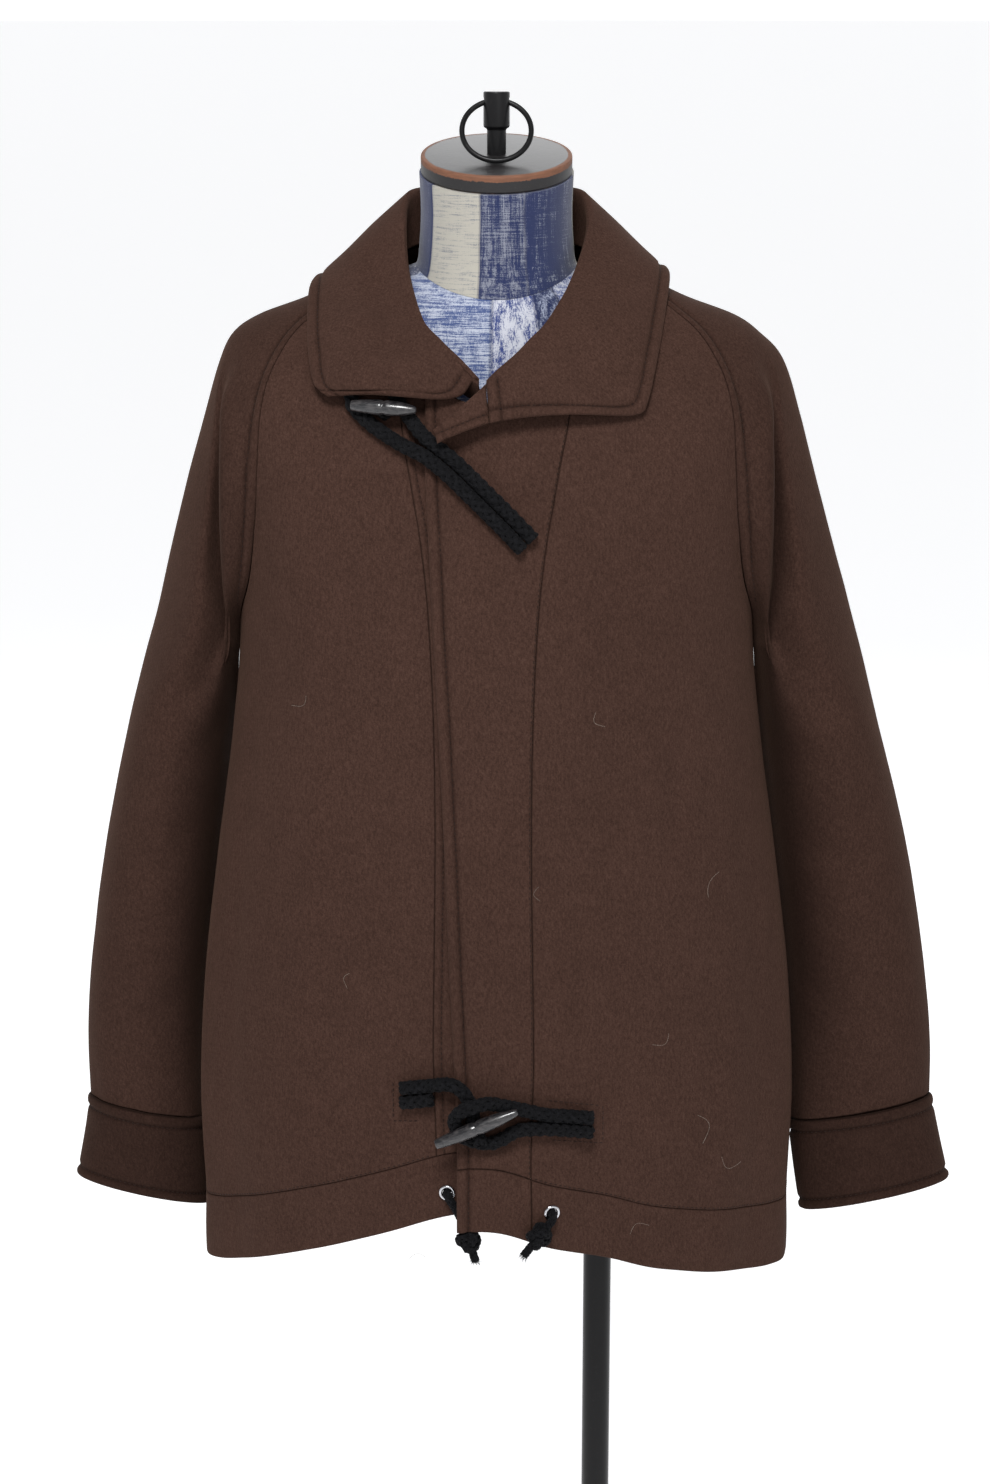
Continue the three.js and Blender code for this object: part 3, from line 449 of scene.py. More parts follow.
def slubGroup():
    # handwoven indigo: slubs along the warp and weft, rubbed to the white core
    tree, given, out = newGroup("slubWeave", dict(
        Vector=None, Dark=(0.02, 0.03, 0.1, 1), Pale=(0.6, 0.6, 0.6, 1), Fade=0.5, Across=0.5), ("Color", "Height"))
    at, across = given["Vector"], given["Across"]
    warp = noiseAt(stretched(at, (1, 1, 0.05)), 900, 3, 0.75)
    weft = noiseAt(stretched(at, (0.05, 0.05, 1)), 800, 3, 0.75)
    stripes = noiseAt(stretched(at, (1, 1, 0.03)), 190, 2, 0.6)
    patchy = noiseAt(stretched(at, (1, 1, 0.6)), 110, 3, 0.6)
    threads = waveAt(at, "Z", Scale=420.0, Distortion=1.5, Detail=1.0)
    slub = plus(times(weft, across), times(plus(times(warp, 0.55), times(stripes, 0.45)), minus(1.0, across)))
    for value, share in ((patchy, 0.14), (noiseAt(at, 1500, 2, 0.6), 0.3), (given["Fade"], 0.3)):
        slub = plus(slub, times(minus(value, 0.5), share))
    color = blend(stepUp(slub, 0.43, 0.60), given["Dark"], given["Pale"])
    hookAll(out, Color=blend(times(threads, 0.3), color, given["Dark"]), Height=plus(slub, times(threads, 0.5)))
    return tree


groups = dict(felt=feltGroup(), wear=wearGroup(), slub=slubGroup())


def newMaterial(name, **sockets):
    material = bpy.data.materials.new(name)
    material.use_nodes = True
    shader = material.node_tree.nodes["Principled BSDF"].inputs
    hookAll(shader, **sockets)
    return material, material.node_tree, addNode(material.node_tree, "TexCoord").outputs["Object"]


def useGroup(tree, key, **values):
    node = tree.nodes.new("ShaderNodeGroup")
    node.node_tree = groups[key]
    hookAll(node.inputs, **values)
    return node.outputs


def finished(material, color, rough, height=None, strength=0.0, depth=0.0):
    # depth is that of the bumps, in millimetres
    tree = material.node_tree
    shader = tree.nodes["Principled BSDF"].inputs
    hookAll(shader, Base_Color=color, Roughness=rough)
    if height is not None:
        bump = addNode(tree, "Bump", Strength=strength, Distance=depth * mm, Height=height)
        hookAll(shader, Normal=bump.outputs["Normal"])
    return material


wool = dict(
    ground=(0.0385, 0.0199, 0.0148), heather=(0.071, 0.0386, 0.0294), deep=(0.0164, 0.0082, 0.0060),
    sheen=0.05, sheenRoughness=0.5, sheenTint=(0.7, 0.42, 0.3), fleck=0.3, nap=0.5, napDepth=0.8)


def woolMaterial(name, shade=1.0):
    material, tree, place = newMaterial(
        name, Sheen_Weight=wool["sheen"], Sheen_Roughness=wool["sheenRoughness"], Sheen_Tint=wool["sheenTint"],
        Specular_IOR_Level=0.03)
    # shade below 1 gives a copy of the cloth with painted shade in its colour
    ground, heather, deep = (tuple(c * shade for c in wool[key]) for key in ("ground", "heather", "deep"))
    felt = useGroup(tree, "felt", Vector=place, Ground=ground, Heather=heather, Deep=deep, Fleck=wool["fleck"])
    # painted shade: a point attribute darkens the wool in the grooves beside seams and edges and in the sleeves'
    # hollows
    dipAndPaintedShade = addNode(tree, "Attribute", dict(attribute_name="dipAndPaintedShade")).outputs["Fac"]  # painted shade in grooves beside seams and edges
    color = blend(dipAndPaintedShade, felt["Color"], tuple(c * 0.25 for c in deep))
    return finished(material, color, felt["Roughness"], felt["Height"], wool["nap"], wool["napDepth"])


def threadMaterial():
    material, tree, place = newMaterial("sewingThread", Sheen_Weight=0.02, Specular_IOR_Level=0.08)
    twist = noiseAt(stretched(place, (1, 1, 2)), 2600, 2)
    color = blend(twist, (0.008, 0.0044, 0.0034), (0.024, 0.013, 0.010))
    return finished(material, color, scaled(twist, 0.3, 0.55), twist, 0.4, 0.2)


def lintMaterial():
    material, tree, place = newMaterial("paleLint", Specular_IOR_Level=0.1)
    color = blend(stepUp(noiseAt(place, 1800, 2), 0.35, 0.65), (0.10, 0.075, 0.06), (0.24, 0.2, 0.17))
    return finished(material, color, 0.9)


def cordMaterial(low, high):
    material, tree, place = newMaterial(
        "blackBraid", Sheen_Weight=0.015, Sheen_Roughness=0.5, Specular_IOR_Level=0.07)
    fibre = noiseAt(stretched(place, (1, 1, 1.6)), 2300, 3, 0.7)
    mixed = times(fibre, plus(noiseAt(place, 380, 2), 0.5))
    return finished(material, blend(stepUp(mixed, 0.3, 0.75), low, high), scaled(fibre, 0.3, 0.6), fibre, 0.7, 0.5)


def hornMaterial():
    material, tree, place = newMaterial("darkHorn", Coat_Weight=0.35, Coat_Roughness=0.1, Specular_IOR_Level=0.45)
    streak = noiseAt(stretched(place, (0.35, 1, 1)), 420, 4, 0.6)
    color = blend(stepUp(streak, 0.42, 0.66), (0.007, 0.0066, 0.0074), (0.04, 0.036, 0.036))
    color = blend(times(noiseAt(place, 90, 2), 0.35), color, (0.018, 0.018, 0.022))
    return finished(material, color, scaled(streak, 0.18, 0.2), streak, 0.25, 0.3)


def nickelMaterial():
    material, tree, place = newMaterial("brightNickel", Metallic=1.0)
    rub = useGroup(tree, "wear", Vector=place, Edge=0.2, Amount=0.8)
    color = blend(rub["Dust"], (0.5, 0.5, 0.52), (0.3, 0.29, 0.29))
    return finished(material, color, scaled(rub["Dust"], 0.18, 0.16), rub["Height"], 0.12, 0.3)


def paintMaterial(name, edge=0.15, bare=(0.11, 0.075, 0.05)):
    material, tree, place = newMaterial(name, Specular_IOR_Level=0.16, Coat_Roughness=0.3)
    rub = useGroup(tree, "wear", Vector=place, Edge=edge, Amount=1.0)
    color = blend(times(rub["Dust"], 0.35), (0.005, 0.0048, 0.0052), (0.02, 0.0185, 0.0185))
    color = blend(rub["Mask"], color, bare)
    return finished(material, color, scaled(rub["Dust"], 0.2, 0.3), rub["Height"], 0.18, 0.5)


# painted shade: the sleeves' and cuffs' cloth are darker copies of the front's
materials = dict(
    wool=woolMaterial("brownMelton"), woolSleevePaintedShade=woolMaterial("brownMeltonSleevePaintedShade", 0.84),
    woolCuffPaintedShade=woolMaterial("brownMeltonCuffPaintedShade", 0.6), thread=threadMaterial(), lint=lintMaterial(),
    rope=cordMaterial((0.0012, 0.0012, 0.0015), (0.0075, 0.0074, 0.0088)), horn=hornMaterial(),
    nickel=nickelMaterial(), paint=paintMaterial("blackPaint"),
    board=paintMaterial("boardPaint", 0.3, (0.12, 0.06, 0.035)))
buildStudio()
print("materials and studio ready")

# ---- the coat's body: the same sections and seams as its solids ----
body = columns("half front back zSide zFront zBack seam edge underSeam frontRaglan backRaglan", [
    [80, 108, 68, 1424, 1340, 1438, 48, -46, -48, 52, 34],
    [112, 113, 83, 1410, 1325, 1423, 52, -50, -68, 73, 56],
    [145, 120, 95, 1395, 1306, 1403, 50.5, -51, -69, 71, 60],
    [178, 127, 106, 1383, 1284, 1378, 45, -51, -65, 62.5, 58],
    [197, 132, 114, 1370, 1258, 1350, 40, -50, -60, 58.5, 57],
    [203, 137, 119, 1346, 1230, 1318, 35, -48.5, -55, 58.5, 58],
    [203, 141, 124, 1308, 1198, 1280, 31, -47, -51, 59.8, 60],
    [199, 145, 128, 1254, 1158, 1235, 28, -45, -48, 64, 64],
    [196, 148, 131, 1194, 1112, 1185, 26, -42.5, -46, 72, 72],
    [197, 150, 134, 1130, 1060, 1128, 25, -40, -45, 90, 90],
    [205, 152, 138, 1055, 1000, 1058, 25, -37.5, -45, 90, 90],
    [218, 154, 143, 965, 928, 972, 26, -35, -46, 90, 90],
    [230, 156, 149, 870, 855, 884, 27, -32, -47, 90, 90],
    [236, 158, 153, 775, 808, 790, 26, -30, -46, 90, 90],
    [234, 160, 155, 688, 765, 694, 25, -29, -45, 90, 90],
    [235, 160, 155, 634, 714, 641, 26, -29, -46, 90, 90],
])
coat = dict(
    thick=2.5, doubleThick=4.6, collarThick=3, inset=0.02, frontLift=6, liftFade=70, hemFlare=6.2, flareFrom=13.4,
    flareSpan=0.8, hangFrom=11, hemBulge=0.6, underEdge=14, overlapEdge=-29,
    underarm=9, hemSeam=14, hemEdge=15, placketTop=0.75,
    step=4.2, welt=8.0, weltDip=1.4, weltPuff=0.8)

hemHang = {
    "left": [4, 3.5, -8.5, -15.5, -20, -17.5, -12.5, -8.5, -4.5, -1.5, 0],
    "right": [17, 17, 12.5, 4.5, 0.5, 0, 0, 0, 0, 0, 0],
}

# Soft folds that fall from the shoulders: from one angle and section to another, width in mm,
# positive for a ridge and negative for a trough. Angle 0 is the front, 90 the wearer's left side.
foldTable = columns("angleTop top angleLow low width height", [
    [-27, 5.6, -15, 12.8, 25, -3.4],
    [-47, 5.0, -43, 15.5, 32, 2.4],
    [-66, 8.5, -60, 15.5, 17, -2.6],
    [-78, 9.5, -76, 15.5, 15, 2.2],
    [-34, 12.2, -31, 15.5, 20, 1.8],
    [-20, 13, -19, 15.5, 13, -1.3],
    [20, 4.0, 24, 15.5, 34, 2.0],
    [46, 8.2, 33, 11.6, 17, -2.3],
    [63, 9.5, 58, 15.5, 19, -2.6],
    [50, 11.0, 46, 15.5, 19, 2.0],
    [77, 9.5, 74, 15.5, 15, 2.4],
    [34, 12.5, 33, 15.5, 14, -1.4],
    [110, 9.5, 106, 15.5, 18, -2.6],
    [128, 6.5, 123, 15.5, 24, 2.8],
    [149, 3.5, 143, 15.5, 26, -3.4],
    [166, 6.0, 163, 15.5, 22, 2.6],
    [187, 2.8, 184, 15.5, 27, -3.6],
    [206, 5.2, 204, 15.5, 23, 3.0],
    [226, 4.2, 225, 15.5, 22, -3.0],
    [246, 8.5, 247, 15.5, 20, 2.2],
    [258, 11.0, 262, 15.5, 14, -1.6],
    [-30, 4.4, -33, 12.6, 15, -1.7],
    [-40, 6.5, -41, 13.5, 10, 1.0],
    [27, 6.4, 29, 12.2, 12, -1.1],
    [-12, 13.2, -11, 15.6, 9, 1.1],
])

def onRing(rows, angle, v, out=0.0, foldsToo=False):
    angle, v = np.broadcast_arrays(np.asarray(angle, float), np.asarray(v, float))
    c, s = np.cos(angle * deg), np.sin(angle * deg)
    front = c > 0
    reach = np.where(front, through(rows["front"], v), through(rows["back"], v))
    zEnd = np.where(front, through(rows["zFront"], v), through(rows["zBack"], v))
    share = np.abs(c) ** (through(rows["bend"], v) if "bend" in rows else 2.0)
    z = through(rows["zSide"], v) * (1 - share) + zEnd * share
    p = np.stack([through(rows["half"], v) * s, -reach * c, z], axis=-1)
    out = np.asarray(out, float)
    if foldsToo:
        out = out + folds(angle, v)
    if np.any(out):
        p = p + ringNormal(rows, angle, v) * out[..., None]
    return p


def ringNormal(rows, angle, v):
    last = len(rows["half"]) - 1
    around = onRing(rows, angle + 0.5, v) - onRing(rows, angle - 0.5, v)
    down = onRing(rows, angle, np.minimum(last, v + 0.05)) - onRing(rows, angle, np.maximum(0, v - 0.05))
    return unit(np.cross(down, around))


foldLook = dict(grow=3.0, fade=2.0, radius=195, quietRadius=150, quietHalf=62, quietFade=45)


def folds(angle, v):
    # the folds' height; none lie near the front's middle
    angle, v = np.broadcast_arrays(np.asarray(angle, float), np.asarray(v, float))
    look, total = foldLook, np.zeros(angle.shape)
    turned = np.mod(angle + 90, 360) - 90
    for at, top, to, low, width, height in rowsOf(foldTable):
        share = np.clip((v - top) / (low - top), 0, 1)
        centre = at + (to - at) * smooth(share)
        strength = smooth((v - top) / look["grow"])
        if low < coat["hemEdge"]:
            strength = strength * smooth((low - v) / look["fade"])
        spread = width * (0.75 + 0.5 * share)
        total += height * strength * np.exp(-(((turned - centre) * deg * look["radius"]) / spread) ** 2)
    fromMiddle = np.abs(turned * deg * look["quietRadius"])
    quiet = smooth((fromMiddle - look["quietHalf"]) / look["quietFade"])
    return total * np.where(np.abs(turned) < 90, quiet, 1.0)


def angleAt(x, v):
    return np.arcsin(np.asarray(x) / through(body["half"], v)) / deg


def leftLift(x, v):
    edgeLift = coat["frontLift"] + coat["hemFlare"] * smooth((v - coat["flareFrom"]) / coat["flareSpan"])
    return edgeLift * (1 - smooth((x - through(body["seam"], v)) / coat["liftFade"]))


def hemFullness(v):
    return np.where(v > coat["hemSeam"], coat["hemBulge"] * np.sin((v - coat["hemSeam"]) * math.pi), 0.0)


def hang(side, angle, v):
    past = (angle if side == "left" else -angle) / 10 + 1
    grow = smooth((v - coat["hangFrom"]) / (coat["hemSeam"] - coat["hangFrom"]))
    return through(hemHang[side], np.clip(past, 0, 10)) * grow


def frontPoint(x, z, lift=0.0):
    # the point over x at a height, and its section
    side = "left" if x > coat["overlapEdge"] else "right"
    low, high = 0.0, float(coat["hemEdge"])
    for _ in range(40):
        middle = (low + high) / 2
        angle = angleAt(x, middle)
        above = onRing(body, angle, middle)[2] + hang(side, angle, middle) > z
        low, high = (middle, high) if above else (low, middle)
    point = onRing(body, angleAt(x, low), low, lift, foldsToo=True)
    point[2] += hang(side, angleAt(x, low), low)
    if low > coat["hemEdge"] - 0.001:
        point[2] = z
    return point, low


def frontPoints(places):
    return np.array([frontPoint(x, z, lift)[0] for x, z, lift in places])


def seamAt(row):
    return lambda v: angleAt(through(body[row], v), v)


def raglanAt(row, start=0, way=1):
    return lambda v: start + way * through(body[row], np.minimum(v, coat["underarm"]))


seamAngle = dict(
    leftSeam=seamAt("seam"), leftEdge=seamAt("edge"), rightSeam=seamAt("underSeam"),
    rightEdge=lambda v: angleAt(coat["underEdge"] + 0 * v, v),
    raglanFront=raglanAt("frontRaglan"), raglanRight=raglanAt("frontRaglan", 0, -1),
    raglanBack=raglanAt("backRaglan", 180, -1), raglanBackRight=raglanAt("backRaglan", 180))


def inset(grid):
    moved = grid.copy()
    for edge, beside in ((0, 1), (-1, -2)):
        moved[edge] += coat["inset"] * unit(grid[beside] - grid[edge])
    for edge, beside in ((0, 1), (-1, -2)):
        moved[:, edge] += coat["inset"] * unit(grid[:, beside] - grid[:, edge])
    return moved


def unevenness(grid):
    # slow uneven swell of thick cloth, about -1 to 1
    x, y, z = grid[..., 0], grid[..., 1], grid[..., 2]
    broad = np.sin(x * 0.061 + z * 0.023 + 1.3) * np.cos(z * 0.047 - y * 0.05)
    middling = 0.6 * np.sin(z * 0.11 + x * 0.083 + y * 0.07)
    return (broad + middling + 0.5 * np.sin(x * 0.19 - z * 0.13 + y * 0.17)) / 2.1


made = {}
clothLook = dict(round=0.44, openRound=1.25, seamRound=0.9, backOpen=1.0, backSeam=0.5, swell=0.12, uneven=0.3,
                 seamShade=0.55, seamReach=0.6, weltShade=0.5, weltReach=1.3, fullDepth=1.1)


def clothPiece(name, grid, normals, thick, welts=(), free=(), cloth="wool", shaded=0.0, every=(3, 2)):
    # welts: side, place of the topstitching, depth of its groove and fullness of the strip beside it
    # free: sides whose edge is open; every: rows and columns between the points that the stitches face
    # shaded: painted shade for every point; dark gathers all painted shade, also that in the grooves of sewn edges
    # and welts
    far, look = sides(grid), clothLook
    grid = inset(grid)
    edge = thick * look["round"]
    sink, rise = np.zeros(grid.shape[:2]), np.zeros(grid.shape[:2])
    dark = sink + shaded
    for side, d in far.items():
        openEdge = side in free
        sink = np.maximum(sink, rollOff(d, edge * look["openRound" if openEdge else "seamRound"]))
        rise = np.maximum(rise, rollOff(d, edge * look["backOpen" if openEdge else "backSeam"]))
        # painted shade in the groove along a sewn edge
        if not openEdge:
            dark = np.maximum(dark, look["seamShade"] * groove(d, 0, look["seamReach"]))
    wave = unevenness(grid)
    uneven = 1 + look["uneven"] * wave
    change = look["swell"] * wave - sink
    for side, at, depth, puff in welts:
        d = far[side]
        full = np.sin(math.pi * np.clip(d / at, 0, 1)) ** 1.5
        change = change - depth * uneven * groove(d, at) + puff * uneven * full
        # painted shade along the welt's groove, stronger for a deeper groove
        shade = look["weltShade"] * np.minimum(1, depth / look["fullDepth"])
        dark = np.maximum(dark, shade * groove(d, at, look["weltReach"]))
    outer = grid + normals * change[..., None]
    inner = grid - normals * (thick - rise)[..., None]
    piece = makePiece(name, shellMesh(outer, inner), cloth)
    # the painted shade is stored on the outer surface's points for the wool to darken by
    paintedShadeLayer = piece.data.attributes.new("dipAndPaintedShade", "FLOAT", "POINT")
    paintedShadeLayer.data.foreach_set("value", np.concatenate([dark.ravel(), 0 * dark.ravel()]).astype(np.float32))
    facing = outwardOf(outer[::every[0], ::every[1]], normals[::every[0], ::every[1]])
    made[name] = dict(piece=piece, outer=outer, far=far, facing=facing)


# ---- stitches ----
stitch = dict(length=3.0, gap=1.0, radius=0.34, proud=0.02, wander=0.12, sunk=0.5)
stitchLines = {}


def lineOn(name, side, at, keep=None):
    # the line on a finished surface that runs at a distance from one side
    d, outer = made[name]["far"][side], made[name]["outer"]
    if side in ("top", "bottom"):
        d, outer = d.T, np.swapaxes(outer, 0, 1)
    line = []
    for k, (distance, points) in enumerate(zip(d, outer)):
        if distance.max() >= at and (keep is None or keep[k]):
            order = np.argsort(distance)
            line.append([np.interp(at, distance[order], points[order, axis]) for axis in range(3)])
    return np.array(line)


def stitchAlong(owner, line, skip=(0, 0)):
    # lays stitches end to end along a line, from one distance from its start to one from its end
    pitch = stitch["length"] + stitch["gap"]
    path = spaced(line, pitch / 4)
    path = path[int(skip[0] / pitch * 4):len(path) - int(skip[1] / pitch * 4)]
    if len(path) < 8:
        return
    normal = made[owner]["facing"](path)
    across = unit(np.cross(unit(np.gradient(path, axis=0)), normal))
    starts = np.arange(0, len(path) - 3, 4)
    wander = chance.uniform(-1, 1, (len(starts), 1)) * stitch["wander"] * across[starts]
    a = path[starts] + normal[starts] * stitch["proud"] + wander
    b = path[starts + 3] + normal[starts + 3] * stitch["proud"] + wander
    points = [a - normal[starts] * stitch["sunk"]]
    for share in (0.22, 0.78):
        for x, y in circle(4) * stitch["radius"]:
            points.append(a + (b - a) * share + x * across[starts] + y * normal[starts])
    points.append(b - normal[starts] * stitch["sunk"])
    base = np.arange(len(starts))[:, None, None] * 10
    tri = [[0, 2, 1], [0, 3, 2], [0, 4, 3], [0, 1, 4], [9, 5, 6], [9, 6, 7], [9, 7, 8], [9, 8, 5]]
    quad = [[1, 2, 6, 5], [2, 3, 7, 6], [3, 4, 8, 7], [4, 1, 5, 8]]
    faces = (base + np.array(tri)).reshape(-1, 3).tolist() + (base + np.array(quad)).reshape(-1, 4).tolist()
    stitchLines.setdefault(owner, []).append((np.stack(points, axis=1).reshape(-1, 3), faces))


def stitchSide(name, side, at, skip, keep=None):
    stitchAlong(name, lineOn(name, side, at, keep), skip)


# boxes of stitches that hold the lower ropes' ends: x, z and height above the body
boxes = {
    "front_right": [[-72, 830.3, 0.4], [-77.1, 829.4, 0.4], [-77.4, 799.6, 0.4], [-58, 801.2, 0.4]],
    "front_left": [[38, 820.4, 6.7], [77.8, 813.2, 6.7], [78, 784.1, 6.7], [40, 789.2, 6.7]],
}
# stray pale hairs caught on the nap: x, z, length, direction and curl
hairs = [
    [159, 971, 19, 65, 5], [151, 783, 24, 100, -7], [106, 711, 15, 20, 5], [73, 1108, 13, 120, 4],
    [-144, 1112, 15, 40, -4], [175, 752, 18, 150, 6], [-110, 905, 12, 80, 4], [120, 860, 14, 30, -5],
    [-60, 690, 13, 10, 4], [30, 980, 11, 95, 3],
]

def outwardOf(outer, normals):
    # the outward direction at points near a surface
    flat, direction = outer.reshape(-1, 3), normals.reshape(-1, 3)
    tree = KDTree(len(flat))
    for k, p in enumerate(flat):
        tree.insert(p, k)
    tree.balance()
    return lambda path: unit(np.array([direction[tree.find(p)[1]] for p in path]))


# ---- body panels ----
def panelGrid(first, last, fromAngle, toAngle, side):
    fine = np.linspace(first, last, 400)
    v = knots(onRing(body, np.full(400, 180.0), fine), fine, coat["step"])
    widest = first + (last - first) * 0.8
    a, b = seamAngle[fromAngle](widest), seamAngle[toAngle](widest)
    s = knotsOf(lambda share: onRing(body, a + (b - a) * share, widest), 1, 300, coat["step"])
    start, end = seamAngle[fromAngle](v)[:, None], seamAngle[toAngle](v)[:, None]
    angle = start + (end - start) * s[None]
    section = np.broadcast_to(v[:, None], angle.shape)
    flat = onRing(body, angle, section)
    out = hemFullness(section) + (leftLift(flat[..., 0], section) if side == "left" else 0)
    grid = onRing(body, angle, section, out, foldsToo=True)
    if side:
        grid[..., 2] += hang(side, angle, section)
    return grid, gridNormals(grid)


panels = {
    "front_right": dict(span=("raglanRight", "rightSeam")),
    "placket_right": dict(span=("rightSeam", "rightEdge"), welts=[("left", 6.0, 0.7, 0.35)]),
    "placket_left": dict(span=("leftEdge", "leftSeam"), welts=[("left", 9.0, 1.7, 0.9)], free=("left",)),
    "front_left": dict(span=("leftSeam", "raglanFront")),
    "back": dict(span=("raglanBack", "raglanBackRight")),
    "hem_band_right": dict(span=("raglanRight", "rightEdge")),
    "hem_band_placket": dict(span=("leftEdge", "leftSeam"), welts=[("left", 9.0, 1.6, 0.8)], free=("left", "bottom")),
    "hem_band_left": dict(span=("leftSeam", "raglanFront")),
    "hem_band_back": dict(span=("raglanBack", "raglanBackRight")),
}


def cutHole(piece, centre, direction, radius, depth=14):
    hole = [(0, -depth), (radius, -depth), (radius, depth), (0, depth)]
    tool = inScene("hole", newMesh("hole", *turnedTo(lathe(hole, 32), centre, direction)))
    cutter = piece.modifiers.new("hole", "BOOLEAN")
    cutter.operation, cutter.object, cutter.solver = "DIFFERENCE", tool, "EXACT"
    bpy.context.view_layer.update()
    done = bpy.data.meshes.new_from_object(piece.evaluated_get(bpy.context.evaluated_depsgraph_get()))
    piece.modifiers.clear()
    old, piece.data = piece.data, done
    bpy.data.meshes.remove(old)
    bpy.data.objects.remove(tool)


def buildPanels():
    for name, p in panels.items():
        side = "right" if "right" in name else "" if "back" in name else "left"
        band, welts = name.startswith("hem"), p.get("welts", ())
        top = coat["placketTop"] if name.startswith("placket") else 0
        rows = (coat["hemSeam"], coat["hemEdge"]) if band else (top, coat["hemSeam"])
        thick = coat["doubleThick"] if band or name == "placket_left" else coat["thick"]
        free = p.get("free", ("bottom",) if band else ())
        clothPiece(name, *panelGrid(*rows, *p["span"], side), thick, welts, free)
        for edge, at, depth, puff in welts:
            stitchSide(name, edge, at, (2, 2))
        if name in ("front_left", "front_right", "back"):
            stitchSide(name, "bottom", 1.6, (3, 3))
        if name == "placket_left":
            stitchSide(name, "right", 1.5, (4, 2))


buildPanels()
print("body panels built")

# ---- sleeves and cuffs ----
openColumns = "at outX outY outZ ridgeX ridgeY hollowX hollowY bellyX bellyY backHollow backBelly"
closedColumns = "x y z half depth tilt pitch"
sleeves = {
    "left": dict(
        side=1,
        open=columns(openColumns, [
            [5, 215, 2, 1350, 199, -52, 203, -33, 209, -22, 43, 34],
            [6, 229, 6, 1309, 202, -66, 204, -36, 214, -32, 55, 48],
            [7, 244, 12, 1256, 203, -68, 207, -30, 222, -35, 58, 60],
            [8, 260, 18, 1202, 203, -58, 210, -27, 231, -37, 60, 70],
            [9, 276, 24, 1150, 205, -34, 211.5, -27, 242, -39, 62, 78],
        ]),
        closed=columns(closedColumns, [
            [250.8, 28, 1060, 45.8, 66, 13, 4],
            [271.4, 32, 954, 53.1, 59.5, 12, 6],
            [285.8, 34, 857, 56.3, 53, 12, 9],
            [292.2, 34, 785, 58.4, 47, 11, 11],
            [293.8, 34, 739, 58.5, 43.5, 11, 12],
        ]),
        cuff=columns(closedColumns, [
            [295.6, 33, 738, 58.1, 45, 11, 12],
            [297.6, 31, 727, 58.5, 44.5, 11, 12],
            [302.6, 27, 698, 59.5, 41.5, 12, 13],
            [308.4, 22, 666, 60.5, 38.5, 13, 14],
        ])),
    "right": dict(
        side=-1,
        open=columns(openColumns, [
            [5, 208, 2, 1348, 199, -50, 202, -33, 206, -22, 43, 34],
            [6, 220, 7, 1309, 202, -64, 203, -36, 211, -32, 55, 48],
            [7, 236, 14, 1256, 203, -67, 206, -30, 217, -35, 58, 62],
            [8, 251, 20, 1202, 203, -58, 208, -27, 225, -38, 60, 72],
            [9, 265, 26, 1148, 204, -34, 209, -27, 234, -42, 62, 80],
        ]),
        closed=columns(closedColumns, [
            [245.7, 32, 1060, 40.7, 70, 13, 4],
            [263.8, 35, 954, 46, 63.4, 12, 6],
            [276.9, 37, 857, 47.7, 57, 12, 9],
            [281.8, 38, 785, 48.6, 51, 11, 11],
            [282.2, 38, 739, 48.3, 47.5, 11, 12],
        ]),
        cuff=columns(closedColumns, [
            [283, 38, 738, 49.2, 49, 11, 12],
            [283.6, 37, 727, 49.8, 48.5, 11, 12],
            [285.8, 35, 698, 52.2, 45.5, 12, 13],
            [288.4, 33, 666, 55.2, 42.5, 13, 14],
        ])),
}
heightShare = [0, 0.35, 0.5, 0.8, 1, 0.8, 0.5, 0.35, 0]

# Folds on a sleeve run from one place to another: around is the place round the sleeve from 0 at the
# front seam over 4 on the outside to 8, z the height. The right sleeve's are shifted a little.
sleeveFolds = columns("around z toAround toZ width height", [
    [0.5, 1150, 2.7, 1092, 13, -2.2],
    [0.4, 1092, 2.3, 1040, 11, -1.7],
    [0.9, 1000, 2.9, 955, 14, -2.4],
    [1.3, 925, 3.3, 892, 12, -1.9],
    [0.8, 865, 2.4, 832, 10, -1.8],
    [2.2, 1180, 3.4, 812, 26, 2.2],
    [3.5, 1240, 4.2, 1130, 16, -1.4],
    [7.4, 1140, 5.5, 1080, 13, -2.3],
    [7.5, 1078, 5.9, 1022, 12, -1.9],
    [7.2, 985, 5.1, 940, 13, -2.0],
    [6.8, 902, 5.2, 872, 11, -1.6],
    [5.6, 1190, 4.9, 840, 24, 1.7],
    [2.0, 792, 2.1, 744, 8, -1.3],
    [3.1, 786, 3.2, 744, 7, -1.1],
    [5.3, 790, 5.2, 744, 8, -1.3],
    [6.6, 784, 6.5, 744, 7, -1.1],
])


def creases(table, around, z, shift=0.0, perTurn=45.0):
    total = np.zeros(around.shape)
    for a, b, c, d, width, height in rowsOf(table):
        start = np.array([(a + shift) * perTurn, b])
        reach = np.array([(c + shift) * perTurn, d]) - start
        px, pz = around * perTurn - start[0], z - start[1]
        share = np.clip((px * reach[0] + pz * reach[1]) / reach.dot(reach), 0, 1)
        bow = 0.12 * np.sin(math.pi * share) * np.linalg.norm(reach)
        away = np.hypot(px - share * reach[0] + bow * 0.4, pz - share * reach[1] + bow)
        strength = np.sin(math.pi * np.clip(0.12 + share * 0.76, 0, 1)) ** 1.2
        total += height * strength * np.exp(-(away / width) ** 2)
    return total


def ellipses(rows, side, count):
    net = []
    angle = np.linspace(0, 360, count) * deg
    for x, y, z, half, depth, tilt, pitch in rowsOf(rows):
        across, deep = -np.cos(angle) * half, -np.sin(angle) * depth
        rise = across * math.tan(tilt * deg) - deep * math.tan(pitch * deg)
        net.append(np.stack([side * (x + across), y + deep, z + rise], axis=-1))
    return net


